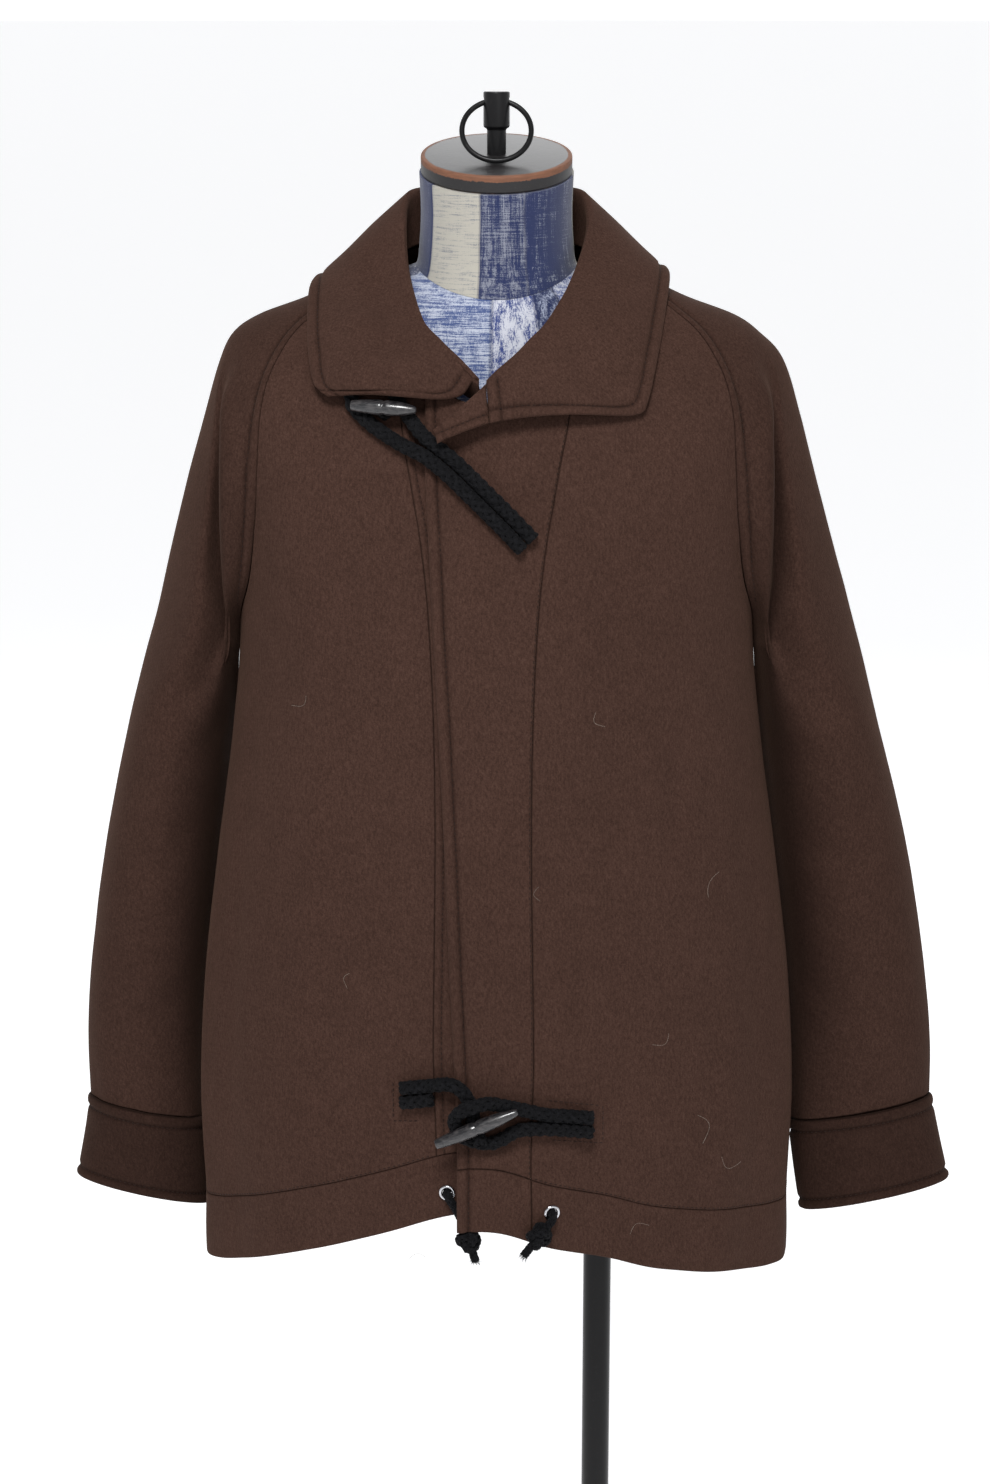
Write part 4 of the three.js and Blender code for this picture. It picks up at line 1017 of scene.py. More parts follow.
def sleeveNet(sleeve):
    # guide points: five rows on the shoulder, five open ones below it, then closed rings
    side, net = sleeve["side"], []
    for v in np.arange(5.0):
        a, b = float(seamAngle["raglanFront"](v)), float(seamAngle["raglanBack"](v))
        net.append(onRing(body, side * np.array([*np.linspace(a, 90, 5), *np.linspace(90, b, 5)[1:]]), v))
    for at, outX, outY, outZ, ridgeX, ridgeY, hollowX, hollowY, bellyX, bellyY, backHollow, backBelly in rowsOf(
            sleeve["open"]):
        start, end = (onRing(body, float(seamAngle[seam](at)), at) for seam in ("raglanFront", "raglanBack"))
        flat = [start[:2], [ridgeX, ridgeY], [hollowX, hollowY], [bellyX, bellyY], [outX, outY],
                [bellyX, backBelly], [hollowX, backHollow], [ridgeX, 6 - 0.92 * ridgeY], end[:2]]
        foot = [start[2]] * 4 + [end[2]] * 5
        net.append([[side * x, y, z + (outZ - z) * share] for (x, y), z, share in zip(flat, foot, heightShare)])
    return np.array([*net, *ellipses(sleeve["closed"], side, 9)])


def netPoints(net, t, s):
    # t rows and s columns through a net of guide points
    return np.swapaxes(through(np.swapaxes(through(net, t), 0, 1), s), 0, 1)


# painted shade in the hollow beside the body: where it starts, how far round it lies and where it ends
paintedHollowShade = dict(shade=0.62, start=4.6, grow=1.6, openTurn=1.55, closedTurn=0.9, reach=0.62, end=11.2, fade=2.5,
                  kept=0.25)


def buildSleeve(name, sleeve, shift):
    net, side, underarm, hollow = sleeveNet(sleeve), sleeve["side"], coat["underarm"], paintedHollowShade
    t = knotsOf(lambda fine: through(net[:, 4], fine), len(net) - 1, 600, coat["step"])
    s = knotsOf(lambda around: netPoints(net, np.array([10.0]), around)[0], 8, 500, coat["step"])
    grid = netPoints(net, t, s)
    v = np.minimum(t, underarm)
    fade = smooth((underarm + 0.35 - t) / 0.35)[:, None]
    for column, seam, share in ((0, "raglanFront", smooth(1 - s)), (-1, "raglanBack", smooth(s - 7))):
        exact = onRing(body, side * seamAngle[seam](v), v, foldsToo=True)
        gapBy = np.where((t <= underarm)[:, None], exact - grid[:, column], 0)
        grid = grid + (gapBy * fade)[:, None] * share[None, :, None]
    if side < 0:
        grid, s = grid[:, ::-1], 8 - s
    normals = gridNormals(grid, closed=t > underarm + 0.2)
    own = smooth((t - 6) / 2)[:, None]
    for seam, first in (("raglanFront", side > 0), ("raglanBack", side < 0)):
        seamNormal = ringNormal(body, side * seamAngle[seam](v), v)
        for k in (0, 1, 2) if first else (-1, -2, -3):
            normals[:, k] = unit(normals[:, k] * own + seamNormal * (1 - own))
    around = np.broadcast_to(s[None], grid.shape[:2])
    inner = np.minimum(around, 8 - around)
    calm = smooth((t - 4) / 3)[:, None] * smooth(inner / 0.5)
    grid = grid + normals * (creases(sleeveFolds, around, grid[..., 2], shift) * calm)[..., None]
    upper = smooth((underarm - 0.5 - t) / 1.0)[:, None]
    # painted shade on the sleeve's inner side, beside the body
    turned = np.where(t < underarm, hollow["openTurn"], hollow["closedTurn"])[:, None]
    fading = 1 - (1 - hollow["kept"]) * smooth((t - hollow["end"]) / hollow["fade"])
    strength = (hollow["shade"] * smooth((t - hollow["start"]) / hollow["grow"]) * fading)[:, None]
    welts = [(edge, coat["welt"], coat["weltDip"] * upper, coat["weltPuff"] * upper) for edge in ("left", "right")]
    clothPiece(name, grid, normals, coat["thick"], welts, cloth="woolSleevePaintedShade", every=(3, 3),
               shaded=strength * np.exp(-((inner - turned) / hollow["reach"]) ** 2))
    for edge in ("left", "right"):
        stitchSide(name, edge, coat["welt"], (3, 0), t < underarm - 0.6)


cuffLook = dict(topWelt=9.5, lowWelt=8.5, dipAndPaintedShade=1.3, puff=0.7, swell=0.8, waves=3, rowStep=3.4, aroundStep=3.6)


def buildCuff(name, sleeve):
    look = cuffLook
    net = np.array(ellipses(sleeve["cuff"], sleeve["side"], 17))
    t = knotsOf(lambda fine: through(net[:, 4], fine), 3, 200, look["rowStep"])
    s = knotsOf(lambda around: netPoints(net, np.array([1.5]), around)[0], 16, 500, look["aroundStep"])
    grid = netPoints(net, t, s)[:, ::sleeve["side"]]
    normals = gridNormals(grid, closed=np.ones(len(t), bool))
    turn = np.linspace(0, 2 * math.pi * look["waves"], grid.shape[1]) + 0.7
    swell = look["swell"] * np.sin(turn) * np.sin(math.pi * t / 3)[:, None]
    places = (("top", look["topWelt"]), ("bottom", look["lowWelt"]))
    welts = [(edge, at, look["dipAndPaintedShade"], look["puff"]) for edge, at in places]
    clothPiece(name, grid + normals * swell[..., None], normals, coat["doubleThick"], welts, free=("bottom",),
               cloth="woolCuffPaintedShade", every=(1, 1))
    for edge, at in places:
        stitchSide(name, edge, at, (2, 2))


for sleeveSide, foldShift in (("left", 0.0), ("right", 0.16)):
    buildSleeve(f"sleeve_{sleeveSide}", sleeves[sleeveSide], foldShift)
for sleeveSide in ("left", "right"):
    buildCuff(f"cuff_{sleeveSide}", sleeves[sleeveSide])
print("sleeves built")

# ---- collar ----
collarRows = columns("at drop inset rollX rollY rollZ edgeX edgeY edgeZ lift rise", [
    [-5, 12, 6.2, -8, -124, 1351, -5, -138, 1323, 1, 0.6],
    [2, 12, 6.2, 1, -120, 1359, 24, -135, 1327, 3, 0.6],
    [13, 11, 6.2, 14, -112, 1369, 62, -128, 1328, 4, 0.6],
    [24, 9, 6.2, 26, -102, 1380, 100, -110, 1325, 5, 0.6],
    [30, 8, 6.2, 32, -96, 1385, 109, -103, 1333, 5, 0.6],
    [38, 6, 6.2, 40, -85, 1394, 117, -79, 1362, 6, 0.6],
    [52, 3, 6.2, 52, -61, 1411, 124, -46, 1391, 7, 0.6],
    [70, 1, 6.2, 63, -31, 1432, 129, -10, 1413, 8, 0.6],
    [87, 0, 6.2, 69, -2, 1453, 127, 26, 1413, 8, 0.6],
    [112, 0, 6.2, 66, 28, 1470, 117, 70, 1402, 7, 0.6],
    [138, 0, 6.2, 48, 54, 1473, 86, 101, 1389, 6, 0.6],
    [160, 0, 6.2, 22, 69, 1475, 43, 116, 1381, 6, 0.6],
    [180, 0, 6.2, 0, 73, 1476, 0, 121, 1378, 6, 0.6],
    [200, 0, 6.2, -22, 69, 1475, -43, 116, 1381, 6, 0.6],
    [222, 0, 6.2, -48, 54, 1473, -87, 101, 1389, 6, 0.6],
    [248, 0, 6.2, -66, 28, 1470, -120, 70, 1400, 7, 0.6],
    [273, 0, 6.2, -69, -4, 1453, -135, 26, 1407, 8, 0.6],
    [292, 2, 7.2, -66, -40, 1422, -139, -10, 1406, 8, 0.6],
    [315, 5, 9.6, -55, -80, 1392, -139, -44, 1390, 7, 0.6],
    [327, 8, 10.4, -40, -99, 1377, -137, -76, 1368, 10, 0.4],
    [338, 12, 9, -26, -110, 1365, -132, -95, 1345, 20, 0],
    [353, 12, 6.2, -12, -115, 1351, -122, -103, 1337, 27, 0],
])
collarLook = dict(endLeaf=[(-30, -121.5, 1339), (-76, -125, 1341.5)], standShare=3.7, welt=9.0, dipAndPaintedShade=1.5, puff=1.0,
                  rowStep=3.8, acrossStep=2.6, footRise=2, standDrop=6, rollOut=5, rollDrop=1.5)
# soft hollows and swells of the leaf: row, place across, reach in rows and across, height
leafShape = columns("row across rowReach acrossReach height", [
    [2.5, 4.6, 1.6, 0.9, -1.6],
    [5.0, 4.4, 1.7, 0.8, 1.4],
    [9.0, 4.2, 1.6, 0.9, -1.3],
    [12.5, 4.6, 1.7, 0.8, 1.2],
    [15.5, 4.3, 1.5, 0.9, -1.2],
    [17.5, 3.7, 0.8, 0.5, -4.6],
    [18.3, 4.4, 0.7, 0.5, 3.4],
    [19.2, 3.8, 0.65, 0.45, -4.0],
    [20.1, 4.8, 0.8, 0.55, 2.4],
])


def collarNet():
    net, look = [], collarLook
    for at, drop, inward, rollX, rollY, rollZ, edgeX, edgeY, edgeZ, lift, rise in rowsOf(collarRows):
        foot = onRing(body, at, 0.0)
        foot = foot + level(-foot[0], -foot[1]) * inward + (0, 0, look["footRise"] - drop)
        roll, edge = np.array([rollX, rollY, rollZ]), np.array([edgeX, edgeY, edgeZ])
        stand = roll + level(-rollX, -rollY) * (inward - look["standShare"]) - (0, 0, look["standDrop"])
        over = roll + level(edgeX - rollX, edgeY - rollY) * look["rollOut"] - (0, 0, look["rollDrop"])
        away = unit(level(edgeX, edgeY) + (0, 0, rise))
        leaf = [over + (edge - over) * t + away * (0.9 * lift * math.sin(math.pi * min(1, t * 1.1)))
                for t in (0.33, 0.67)]
        net.append([foot, stand, roll, over, *leaf, edge])
    net[-1][4:6] = look["endLeaf"]
    return np.array(net)


def buildCollar():
    look, net = collarLook, collarNet()
    t = knotsOf(lambda fine: through(net[:, 5], fine), len(net) - 1, 900, look["rowStep"])
    s = knotsOf(lambda across: through(net[5], across), 6, 400, look["acrossStep"])
    grid = np.swapaxes(netPoints(net, t, s), 0, 1)
    normals = gridNormals(grid)
    rows, across = np.meshgrid(t, s)
    shape = np.zeros(rows.shape)
    for row, place, rowReach, acrossReach, height in rowsOf(leafShape):
        shape += height * np.exp(-((rows - row) / rowReach) ** 2 - ((across - place) / acrossReach) ** 2)
    leaf = smooth((across - 2.6) / 0.8)
    edges = ("bottom", "left", "right")
    clothPiece("collar", grid + normals * shape[..., None], normals, coat["collarThick"],
               [(edge, look["welt"], look["dipAndPaintedShade"] * leaf, look["puff"] * leaf) for edge in edges],
               free=(*edges, "top"), every=(2, 2))
    stitchSide("collar", "bottom", look["welt"], (look["welt"], look["welt"]))
    for side in ("left", "right"):
        stitchSide("collar", side, look["welt"], (0, look["welt"]), s > 3.1)


lapelLook = dict(swell=2.5, welt=6.5, dipAndPaintedShade=0.8, puff=0.5)
lapelCorners = np.array([[(-45, -140, 1319), (-7.3, -128.6, 1350)], [(-42, -145, 1310), (-5.2, -138.6, 1323.5)]])


def buildLapel():
    (topOuter, topInner), (lowOuter, lowInner) = lapelCorners
    t, s = np.linspace(0, 1, 26)[:, None, None], np.linspace(0, 1, 34)[None, :, None]
    inner, outer = topInner + (lowInner - topInner) * t, topOuter + (lowOuter - topOuter) * t
    grid = outer + (inner - outer) * s
    grid[..., 1:2] -= lapelLook["swell"] * np.sin(math.pi * s) * np.sin(math.pi * t)
    welts = [(edge, lapelLook["welt"], lapelLook["dipAndPaintedShade"], lapelLook["puff"]) for edge in ("left", "bottom")]
    clothPiece("lapel", grid, gridNormals(grid), coat["collarThick"], welts, free=("left", "right", "top", "bottom"),
               every=(1, 1))
    stitchSide("lapel", "bottom", lapelLook["welt"], (5, 3))


buildCollar()
buildLapel()
print("collar built")

# ---- ropes, toggles, eyelets and drawcord ----
# x, z and height above the body of each rope's middle
ropeRoutes = {
    "loop_upper": [
        [25, 1239.3, 11.5], [15.3, 1249.6, 11.5], [6.3, 1258.8, 11.5], [-11, 1276, 11.8], [-28.3, 1291.4, 12],
        [-42.2, 1301.5, 12], [-48.6, 1306, 11.8], [-55, 1312.5, 9.4], [-62.5, 1322.1, 5.5], [-69.7, 1331.3, 5.1],
        [-74, 1340, 5.1], [-82, 1346.5, 5.1], [-93, 1347, 5.1], [-101.5, 1340, 5.1], [-102.8, 1329.5, 5.1],
        [-93.3, 1319.4, 5.1], [-82.5, 1311.8, 5.1], [-68.1, 1303.5, 5.6], [-57.6, 1298.4, 9.6],
        [-49.6, 1294.4, 11.8], [-35.6, 1284.4, 12], [-18.4, 1268.6, 11.8], [-1.1, 1251.3, 11.5],
        [7.9, 1242.3, 11.5], [17.5, 1232.1, 11.5]],
    "loop_lower": [
        [69, 806.2, 11.2], [51.4, 808.8, 11.2], [34.8, 811, 11.3], [16.8, 816, 12], [2.4, 820.2, 14.5],
        [-6, 823, 19], [-15.5, 821.5, 22], [-24.5, 817, 20], [-29.8, 808.5, 15], [-28, 799, 12.8],
        [-22, 793.5, 12.7], [-14, 791.2, 12.8], [-4.7, 790, 12.8], [4.6, 793.3, 12.5], [14.7, 799.1, 11.8],
        [31.2, 800, 11.3], [49.3, 798.3, 11.2], [69, 795.2, 11.2]],
    "toggle_rope_upper": [[-79.5, 1324.5, 0.5], [-79.5, 1324.5, 4.9], [-79.5, 1324.5, 9.6]],
    "toggle_rope_lower": [
        [-70.1, 827.3, 5.2], [-57.5, 829.5, 5.2], [-45.7, 831.6, 5.8], [-35.6, 834.4, 10.4], [-27.6, 832.5, 12.1],
        [-21.2, 824.8, 11.8], [-17.6, 814, 11.7], [-16.1, 807.4, 13], [-14.2, 800.6, 13.4], [-12.2, 794.6, 16.4],
        [-11.4, 791, 20.4]],
    "toggle_tab_lower": [[-70.1, 816.2, 5.2], [-57.5, 818.4, 5.2], [-47, 820.4, 5.4]],
}
toggles = {
    "toggle_upper": [(-101, 1325, 15.8), (-55, 1323.5, 15.8)],
    "toggle_lower": [(-42, 792, 23.6), (14.5, 818.2, 23.6)],
}
ropeLook = dict(radius=5.2, pitch=30, step=1.2)
drawcords = {
    "right": [[-37.5, 746, 5.8], [-34.5, 741.5, 5.6], [-32, 737, 4.3], [-28.5, 730, 4.1], [-25.5, 724, 4.1],
              [-23.5, 717.5, 4.1]],
    "left": [[40.5, 734.5, 16.3], [39.3, 729.3, 16.4], [35.3, 724.8, 17.9]],
}
drawLook = dict(radius=3.2, pitch=17, step=0.8, knotHalf=8, tail=10, gap=0.3, knotRadius=3.7, knotSwing=2.15,
                knotRise=4.1, knotLength=1.15, hairs=70)


def buildRopes():
    for name, route in ropeRoutes.items():
        path = curve(frontPoints(route), ropeLook["step"])
        makePiece(name, braid(path, ropeLook["radius"], ropeLook["pitch"]), "rope")


toggleRadius = 5.5
toggleProfile = columns("radius height", [
    [0, 0], [0.52, 0.001], [0.64, 0.01], [0.72, 0.05], [0.88, 0.2], [0.98, 0.36], [1.0, 0.435], [0.97, 0.465],
    [0.88, 0.5], [0.97, 0.535], [1.0, 0.565], [0.96, 0.66], [0.87, 0.78], [0.6, 0.93], [0.44, 0.985], [0.3, 1.0],
    [0, 1]])


def buildToggle(name, toggle):
    start, end = frontPoints(toggle)
    length = np.linalg.norm(end - start)
    t = np.linspace(0, len(toggleProfile["radius"]) - 1, 90)
    radius = np.clip(through(toggleProfile["radius"], t), 0, 1.0) * toggleRadius
    height = np.maximum.accumulate(through(toggleProfile["height"], t)) * length
    profile = [(0, 0), *zip(radius[1:-1], height[1:-1]), (0, length)]
    makePiece(name, turnedTo(lathe(profile, 40), start, (end - start) / length), "horn")


def knotAt(middle, down):
    look = drawLook
    a = np.linspace(0, 2 * math.pi, 120)
    swing = look["knotSwing"] * (2 + np.cos(3 * a))
    loop = np.stack([swing * np.cos(2 * a), look["knotRise"] * np.sin(3 * a),
                     look["knotLength"] * swing * np.sin(2 * a)], axis=1)
    return braid(turnedTo((loop, None), middle, down)[0], look["knotRadius"], look["pitch"], strandSides=5)


def frayAt(tip, down):
    fibres = []
    for _ in range(drawLook["hairs"]):
        away = unit(down + chance.normal(0, 0.4, 3))
        start = tip + chance.normal(0, 1.3, 3)
        bend = chance.normal(0, 0.5, 3)
        steps = np.linspace(0, chance.uniform(2.2, 4.6), 5)[:, None]
        fibres.append(tube(start + away * steps + bend * (steps / 5) ** 2, np.linspace(0.24, 0.06, 5), 4))
    return joined(fibres)


def buildDrawcord(side, route):
    look, points = drawLook, frontPoints(route)
    bore, outwards = eyeletPlace(eyelets[side])
    start = [bore - outwards * 4, bore + outwards * 0.5, bore + outwards * 3.6 + (points[1] - points[0]) * 0.12]
    down = unit(points[-1] - points[-2])
    far = 2 * look["knotHalf"] + 2 * look["gap"]
    tail = [points[-1] + down * d for d in (far * 0.5, far, far + look["tail"] * 0.5, far + look["tail"])]
    path = curve([*start, *points[1:], *tail], look["step"])
    cord = makePiece(f"drawcord_{side}", braid(path, look["radius"], look["pitch"], strandSides=5), "rope",
                     replaces=[f"drawcord_{side}", f"drawcord_tail_{side}"])
    knot = makePiece(f"drawcord_knot_{side}", knotAt(points[-1] + down * far / 2, down), "rope")
    frayed = makePiece(f"drawcord_fray_{side}", frayAt(path[-3], down), "rope", replaces=())


# x, z and height above the body of each eyelet
eyelets = {
    "right": dict(x=-37, z=745.5, lift=lambda x, v: coat["hemBulge"]),
    "left": dict(x=40, z=733.8, lift=lambda x, v: leftLift(x, v) + coat["hemBulge"]),
}
eyeletLook = dict(bore=3.6, flange=6.2, barrel=4.4, front=0.5, back=-5.2, dome=1.15)


def eyeletPlace(eyelet):
    def at(x, z):
        v = frontPoint(x, z)[1]
        return frontPoint(x, z, float(eyelet["lift"](x, v)))[0]
    x, z = eyelet["x"], eyelet["z"]
    centre = at(x, z)
    return centre, unit(np.cross(at(x + 2, z) - centre, at(x, z + 2) - centre))


def buildEyelet(side, eyelet):
    centre, direction = eyeletPlace(eyelet)
    bore, flange, barrel, front, back, dome = eyeletLook.values()
    crown = [(bore + (flange - bore) * (1 - math.cos(a)) / 2, front + 0.15 + dome * math.sin(a))
             for a in np.linspace(0.12, math.pi - 0.12, 14)]
    ring = [(bore, back - 0.6), (bore, front), *crown, (flange, front), (barrel, front), (barrel, back),
            (flange, back), (flange - 0.3, back - 0.7), (bore + 0.3, back - 0.7)]
    ring = np.array(ring)[::-1]
    turn = circle(48)
    points = np.array([[r * x, r * y, h] for r, h in ring for x, y in turn])
    faces = gridFaces(len(ring), 48, flip=True, wrap=True, ringed=True)
    makePiece(f"eyelet_{side}", turnedTo((points, faces), centre, direction), "nickel")
    cutHole(made[f"hem_band_{side}"]["piece"], centre, direction, barrel + 0.3)


buildRopes()
for toggleName, toggleEnds in toggles.items():
    buildToggle(toggleName, toggleEnds)
for cordSide, cordRoute in drawcords.items():
    buildDrawcord(cordSide, cordRoute)
for eyeletSide, eyeletData in eyelets.items():
    buildEyelet(eyeletSide, eyeletData)
print("ropes, toggles and cords built")

# ---- dress form and stand ----
torso = columns("half front back zSide zFront zBack bend", [
    [57, 56, 57, 1488, 1475, 1501, 1],
    [56, 56, 57, 1462, 1450, 1474, 1],
    [57, 58, 57, 1440, 1424, 1450, 1.2],
    [60, 65, 58, 1421, 1401, 1432, 1.6],
    [72, 69, 62, 1416, 1390, 1424, 2],
    [105, 77, 75, 1403, 1366, 1410, 2],
    [140, 88, 87, 1387, 1338, 1388, 2],
    [171, 104, 98, 1374, 1306, 1362, 2],
    [189, 115, 106, 1357, 1270, 1330, 2],
    [193, 122, 111, 1322, 1232, 1292, 2],
    [188, 125, 113, 1268, 1180, 1242, 2],
    [177, 122, 111, 1192, 1118, 1178, 2],
    [163, 116, 107, 1105, 1048, 1098, 2],
    [152, 110, 104, 1010, 980, 1010, 2],
    [160, 114, 112, 930, 925, 930, 2],
    [170, 118, 121, 850, 850, 850, 2],
    [172, 118, 123, 790, 790, 790, 2],
    [167, 113, 118, 752, 752, 752, 2],
    [154, 101, 106, 738, 738, 738, 2],
])
form = dict(
    neckBase=3, capRadius=55.8, capThick=13, capTilt=13, capCentre=1488.3, postRadius=9.7, postStem=7, postTop=1546,
    postStep=1519, ringHinge=1538.6, ringRadius=25.3, ringWire=2, ringLean=35, ringHole=3.6, wireShift=0.95,
    poleX=82, poleRadius=11.2, bottom=738, board=8, baseRadius=170, baseThick=9, gap=0.3,
    socketLength=34, socketWall=3, flangeRadius=24, bossRise=14)


def patchMaterial(name, patches):
    # cloth patches side by side round the form: each starts at an angle from the front
    material, tree, place = newMaterial(name, Sheen_Weight=0.25, Sheen_Roughness=0.5, Specular_IOR_Level=0.2)
    parts = addNode(tree, "SeparateXYZ", Vector=place).outputs
    turn = plus(mathNode("ARCTAN2", parts["X"], times(parts["Y"], -1.0)), times(minus(noiseAt(place, 40), 0.5), 0.03))
    color = bump = seam = None
    for angle, dark, pale, fade, across in patches:
        slub = useGroup(tree, "slub", Vector=place, Dark=dark, Pale=pale, Fade=fade, Across=across)
        if color is None:
            color, bump = slub["Color"], slub["Height"]
            continue
        color = blend(mathNode("GREATER_THAN", turn, angle * deg), color, slub["Color"])
        near = stepUp(mathNode("ABSOLUTE", minus(turn, angle * deg)), 0.03, 0.008)
        seam = near if seam is None else larger(seam, near)
    color = blend(times(seam, 0.45), color, (0.02, 0.025, 0.06))
    return finished(material, color, 0.9, minus(bump, times(seam, 2.0)), 0.5, 0.6)


indigo, midBlue, cream, white = (0.010, 0.017, 0.062), (0.035, 0.055, 0.16), (0.36, 0.34, 0.29), (0.50, 0.51, 0.55)
# angle where a patch starts, dark and pale thread, how far it is faded, share of the weft
neckPatches = [
    (-180, indigo, midBlue, 0.35, 0.5),
    (-95, indigo, (0.12, 0.14, 0.2), 0.2, 0.2),
    (-56, (0.14, 0.15, 0.17), cream, 0.82, 0.75),
    (-12, indigo, (0.2, 0.21, 0.25), 0.42, 0.35),
    (22, indigo, (0.28, 0.3, 0.35), 0.2, 0.3),
    (82, (0.14, 0.15, 0.17), cream, 0.8, 0.6),
    (128, indigo, white, 0.3, 0.2),
]
chestPatches = [
    (-180, midBlue, white, 0.6, 0.2),
    (-130, indigo, white, 0.3, 0.2),
    (-70, (0.04, 0.065, 0.17), (0.42, 0.45, 0.52), 0.55, 0.6),
    (-3, (0.022, 0.04, 0.15), white, 0.62, 0.08),
    (24, indigo, (0.3, 0.33, 0.42), 0.42, 0.1),
    (40, midBlue, white, 0.55, 0.3),
    (95, indigo, midBlue, 0.4, 0.2),
    (150, midBlue, cream, 0.6, 0.3),
]


def buildLoft(name, first, last, rows, look, count=128):
    angle = np.arange(count) * 360 / count
    rings = onRing(torso, angle[None], np.linspace(first, last, rows)[:, None])
    ends = [(onRing(torso, 0, v) + onRing(torso, 180, v)) / 2 for v in (first, last)]
    end = (rows - 1) * count
    faces = gridFaces(rows, count, wrap=True)
    faces += [[rows * count, k, (k + 1) % count] for k in range(count)]
    faces += [[rows * count + 1, end + (k + 1) % count, end + k] for k in range(count)]
    makePiece(name, (np.concatenate([rings.reshape(-1, 3), ends]), faces), look)


def capMaterial():
    # lacquered disc, rubbed brown round its rim
    material, tree, place = newMaterial("lacqueredCap", Coat_Weight=0.0, Coat_Roughness=0.2, Specular_IOR_Level=0.38)
    parts = addNode(tree, "SeparateXYZ", Vector=place).outputs
    x, y, z = (times(parts[axis], 1 / mm) for axis in "XYZ")
    radius = mathNode("SQRT", plus(mathNode("POWER", x, 2.0), mathNode("POWER", y, 2.0)))
    rim = stepUp(radius, form["capRadius"] - 5.0, form["capRadius"] - 1.0)
    high = stepUp(z, form["capThick"] - 6.5, form["capThick"] - 1.5)
    edges = larger(times(high, 0.85), times(stepUp(z, 1.6, 0.2), 0.35))
    rub = useGroup(tree, "wear", Vector=place, Edge=times(rim, plus(edges, 0.02)), Amount=1.1)
    grain = noiseAt(stretched(place, (1, 1, 8)), 120, 3, 0.6)
    color = blend(times(rub["Dust"], 0.3), (0.010, 0.009, 0.0095), (0.035, 0.031, 0.03))
    color = blend(rub["Mask"], color, blend(grain, (0.075, 0.03, 0.016), (0.19, 0.08, 0.042)))
    return finished(material, color, scaled(rub["Mask"], 0.3, 0.42), rub["Height"], 0.2, 0.6)


def buildForm():
    f = form
    materials.update(neck=patchMaterial("neckPatchwork", neckPatches), cap=capMaterial(),
                     chest=patchMaterial("chestPatchwork", chestPatches))
    buildLoft("form_neck", 0, f["neckBase"] - 0.02, 40, "neck")
    buildLoft("form_torso", f["neckBase"], 18, 120, "chest")
    disc = rounded([(0, 0), (f["capRadius"], 0), (f["capRadius"], f["capThick"]), (0, f["capThick"])], 1.6, 6)
    leaning = Matrix.Translation((0, 0, f["capCentre"] * mm)) @ Matrix.Rotation(f["capTilt"] * deg, 4, "X")
    makePiece("neck_cap", lathe(disc, 128), "cap", at=leaning)
    foot = f["capCentre"] + f["capThick"] - 2.5
    stem = rounded([
        (0, foot), (f["postStem"], foot), (f["postStem"], f["postStep"]), (f["postRadius"], f["postStep"] + 1.5),
        (f["postRadius"], f["postTop"]), (0, f["postTop"])], 1.2, 5)
    post = makePiece("neck_post", lathe(stem, 64), "paint")
    cutHole(post, (0, 0, f["ringHinge"]), (1, 0, 0), f["ringHole"], 30)


def buildRing(around=144, aroundWire=20):
    # a round wire that hangs from its crown and leans on the cap
    f = form
    middle, wire = circle(around), circle(aroundWire) * f["ringWire"]
    points = np.array([[c * (f["ringRadius"] + x), y, s * (f["ringRadius"] + x)] for c, s in middle for x, y in wire])
    points = points + (0, 0, f["wireShift"] - f["ringRadius"])
    lean = np.array(Matrix.Rotation(-f["ringLean"] * deg, 3, "X"))
    faces = gridFaces(around, aroundWire, flip=True, wrap=True, ringed=True)
    makePiece("lift_ring", (points @ lean.T + (0, 0, f["ringHinge"]), faces), "paint", body="ring")


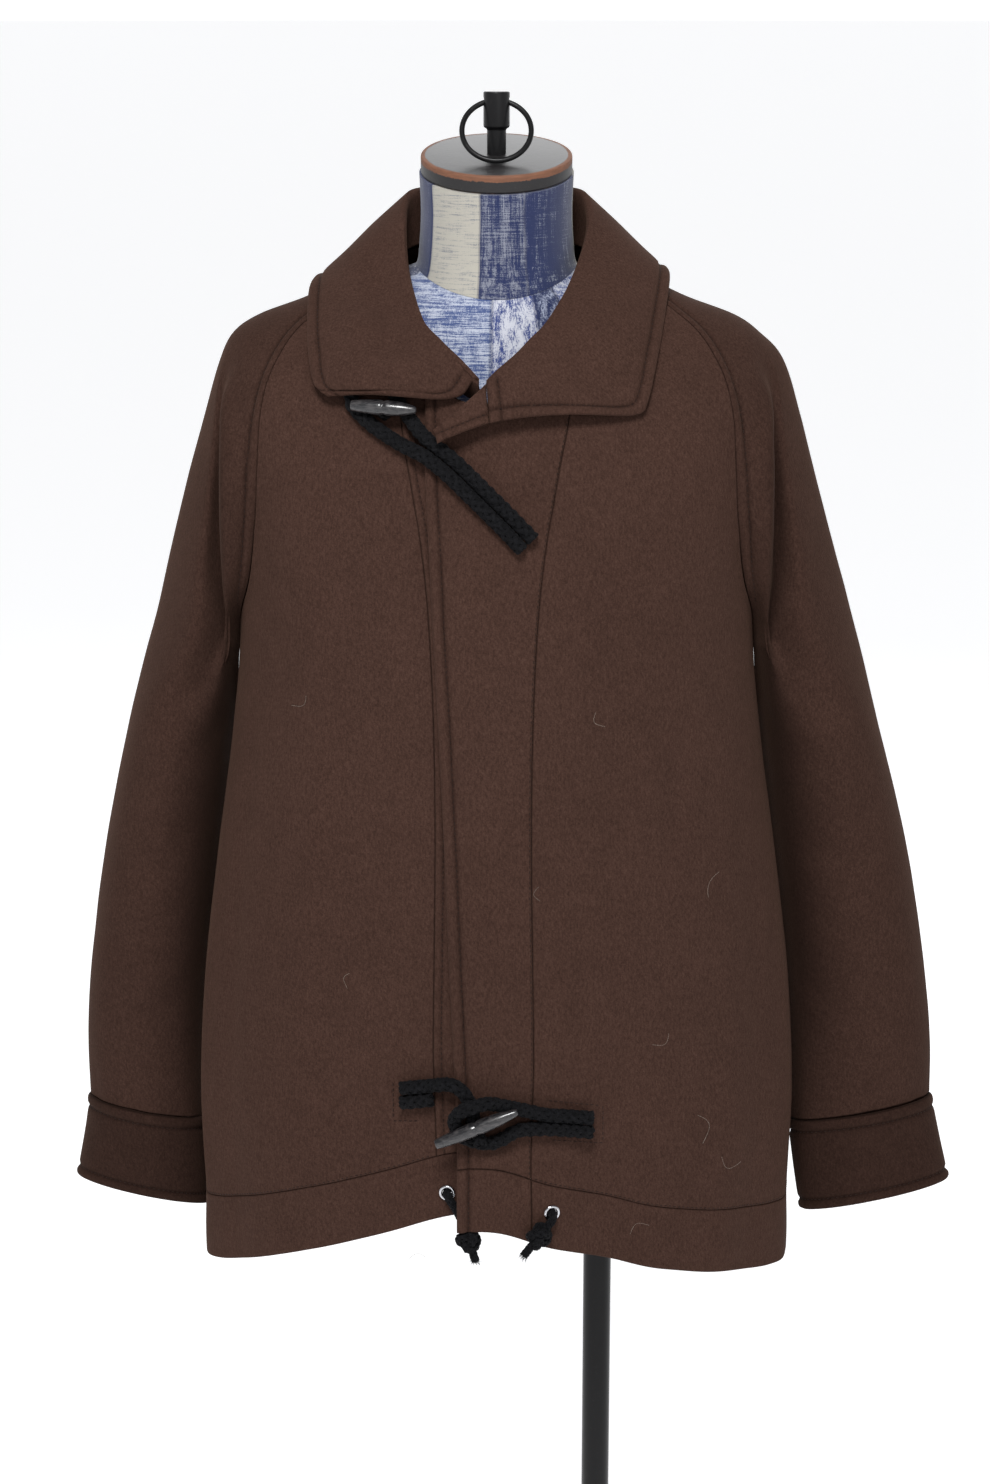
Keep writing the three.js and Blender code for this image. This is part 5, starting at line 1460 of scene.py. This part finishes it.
def buildStand():
    f = form
    boardTop = f["bottom"] - f["gap"]
    outline = onRing(torso, np.arange(128) * 360 / 128, 18.0) * (0.97, 0.97, 0)
    low = boardTop - f["board"]
    levels = [(0.985, boardTop), (1, boardTop - 1.5), (1, low + 1.5), (0.985, low)]
    points = np.concatenate([outline * scale + (0, 0, z) for scale, z in levels])
    faces = gridFaces(4, 128, wrap=True) + [list(range(128)), [3 * 128 + k for k in range(128)][::-1]]
    makePiece("form_board", (points, faces), "board")
    foot = low - f["gap"]
    neck, wall, flange = foot - f["socketLength"], f["poleRadius"] + f["socketWall"], f["flangeRadius"]
    radius, end = f["poleRadius"], neck - f["gap"]
    thick, boss = f["baseThick"], f["baseThick"] + f["bossRise"]
    turnedPieces = {
        "pole_socket": [(0, neck), (wall, neck), (wall, foot - 12), (flange, foot - 4), (flange, foot), (0, foot)],
        "pole": [(0, boss + f["gap"]), (radius, boss + f["gap"]), (radius, end), (0, end)],
        "stand_base": [(0, 0), (f["baseRadius"], 0), (f["baseRadius"], thick), (26, thick + 2), (22, boss),
                       (0, boss)],
    }
    for name, profile in turnedPieces.items():
        points, faces = lathe(rounded(profile, 1.5, 5), 96)
        makePiece(name, (points + (f["poleX"], 0, 0), faces), "paint")


buildForm()
buildRing()
buildStand()
print("dress form and stand built")

# ---- stitches and lint ----
for ownerName, corners in boxes.items():
    box = frontPoints(corners)
    for a, b in zip(box, box[1:]):
        stitchAlong(ownerName, np.array([a, b]))


def buildLint():
    strands = []
    for x, z, length, direction, curl in hairs:
        t = np.linspace(0, 1, 16)
        c, s = math.cos(direction * deg), math.sin(direction * deg)
        bow = curl * np.sin(t * math.pi) + 0.5 * np.sin(t * 6 + x)
        lift = 0.35 if x < coat["overlapEdge"] else coat["frontLift"] + 0.35
        places = zip(x + c * length * (t - 0.5) - s * bow, z + s * length * (t - 0.5) + c * bow, np.full(16, lift))
        strands.append(tube(frontPoints(places), 0.12, 5))
    made["front_left"]["lint"] = makePiece("lint", joined(strands), "lint", replaces=())


buildLint()
for ownerName, lines in stitchLines.items():
    made[ownerName]["stitches"] = makePiece(f"stitches_{ownerName}", joined(lines), "thread", replaces=())

print("coat finished")
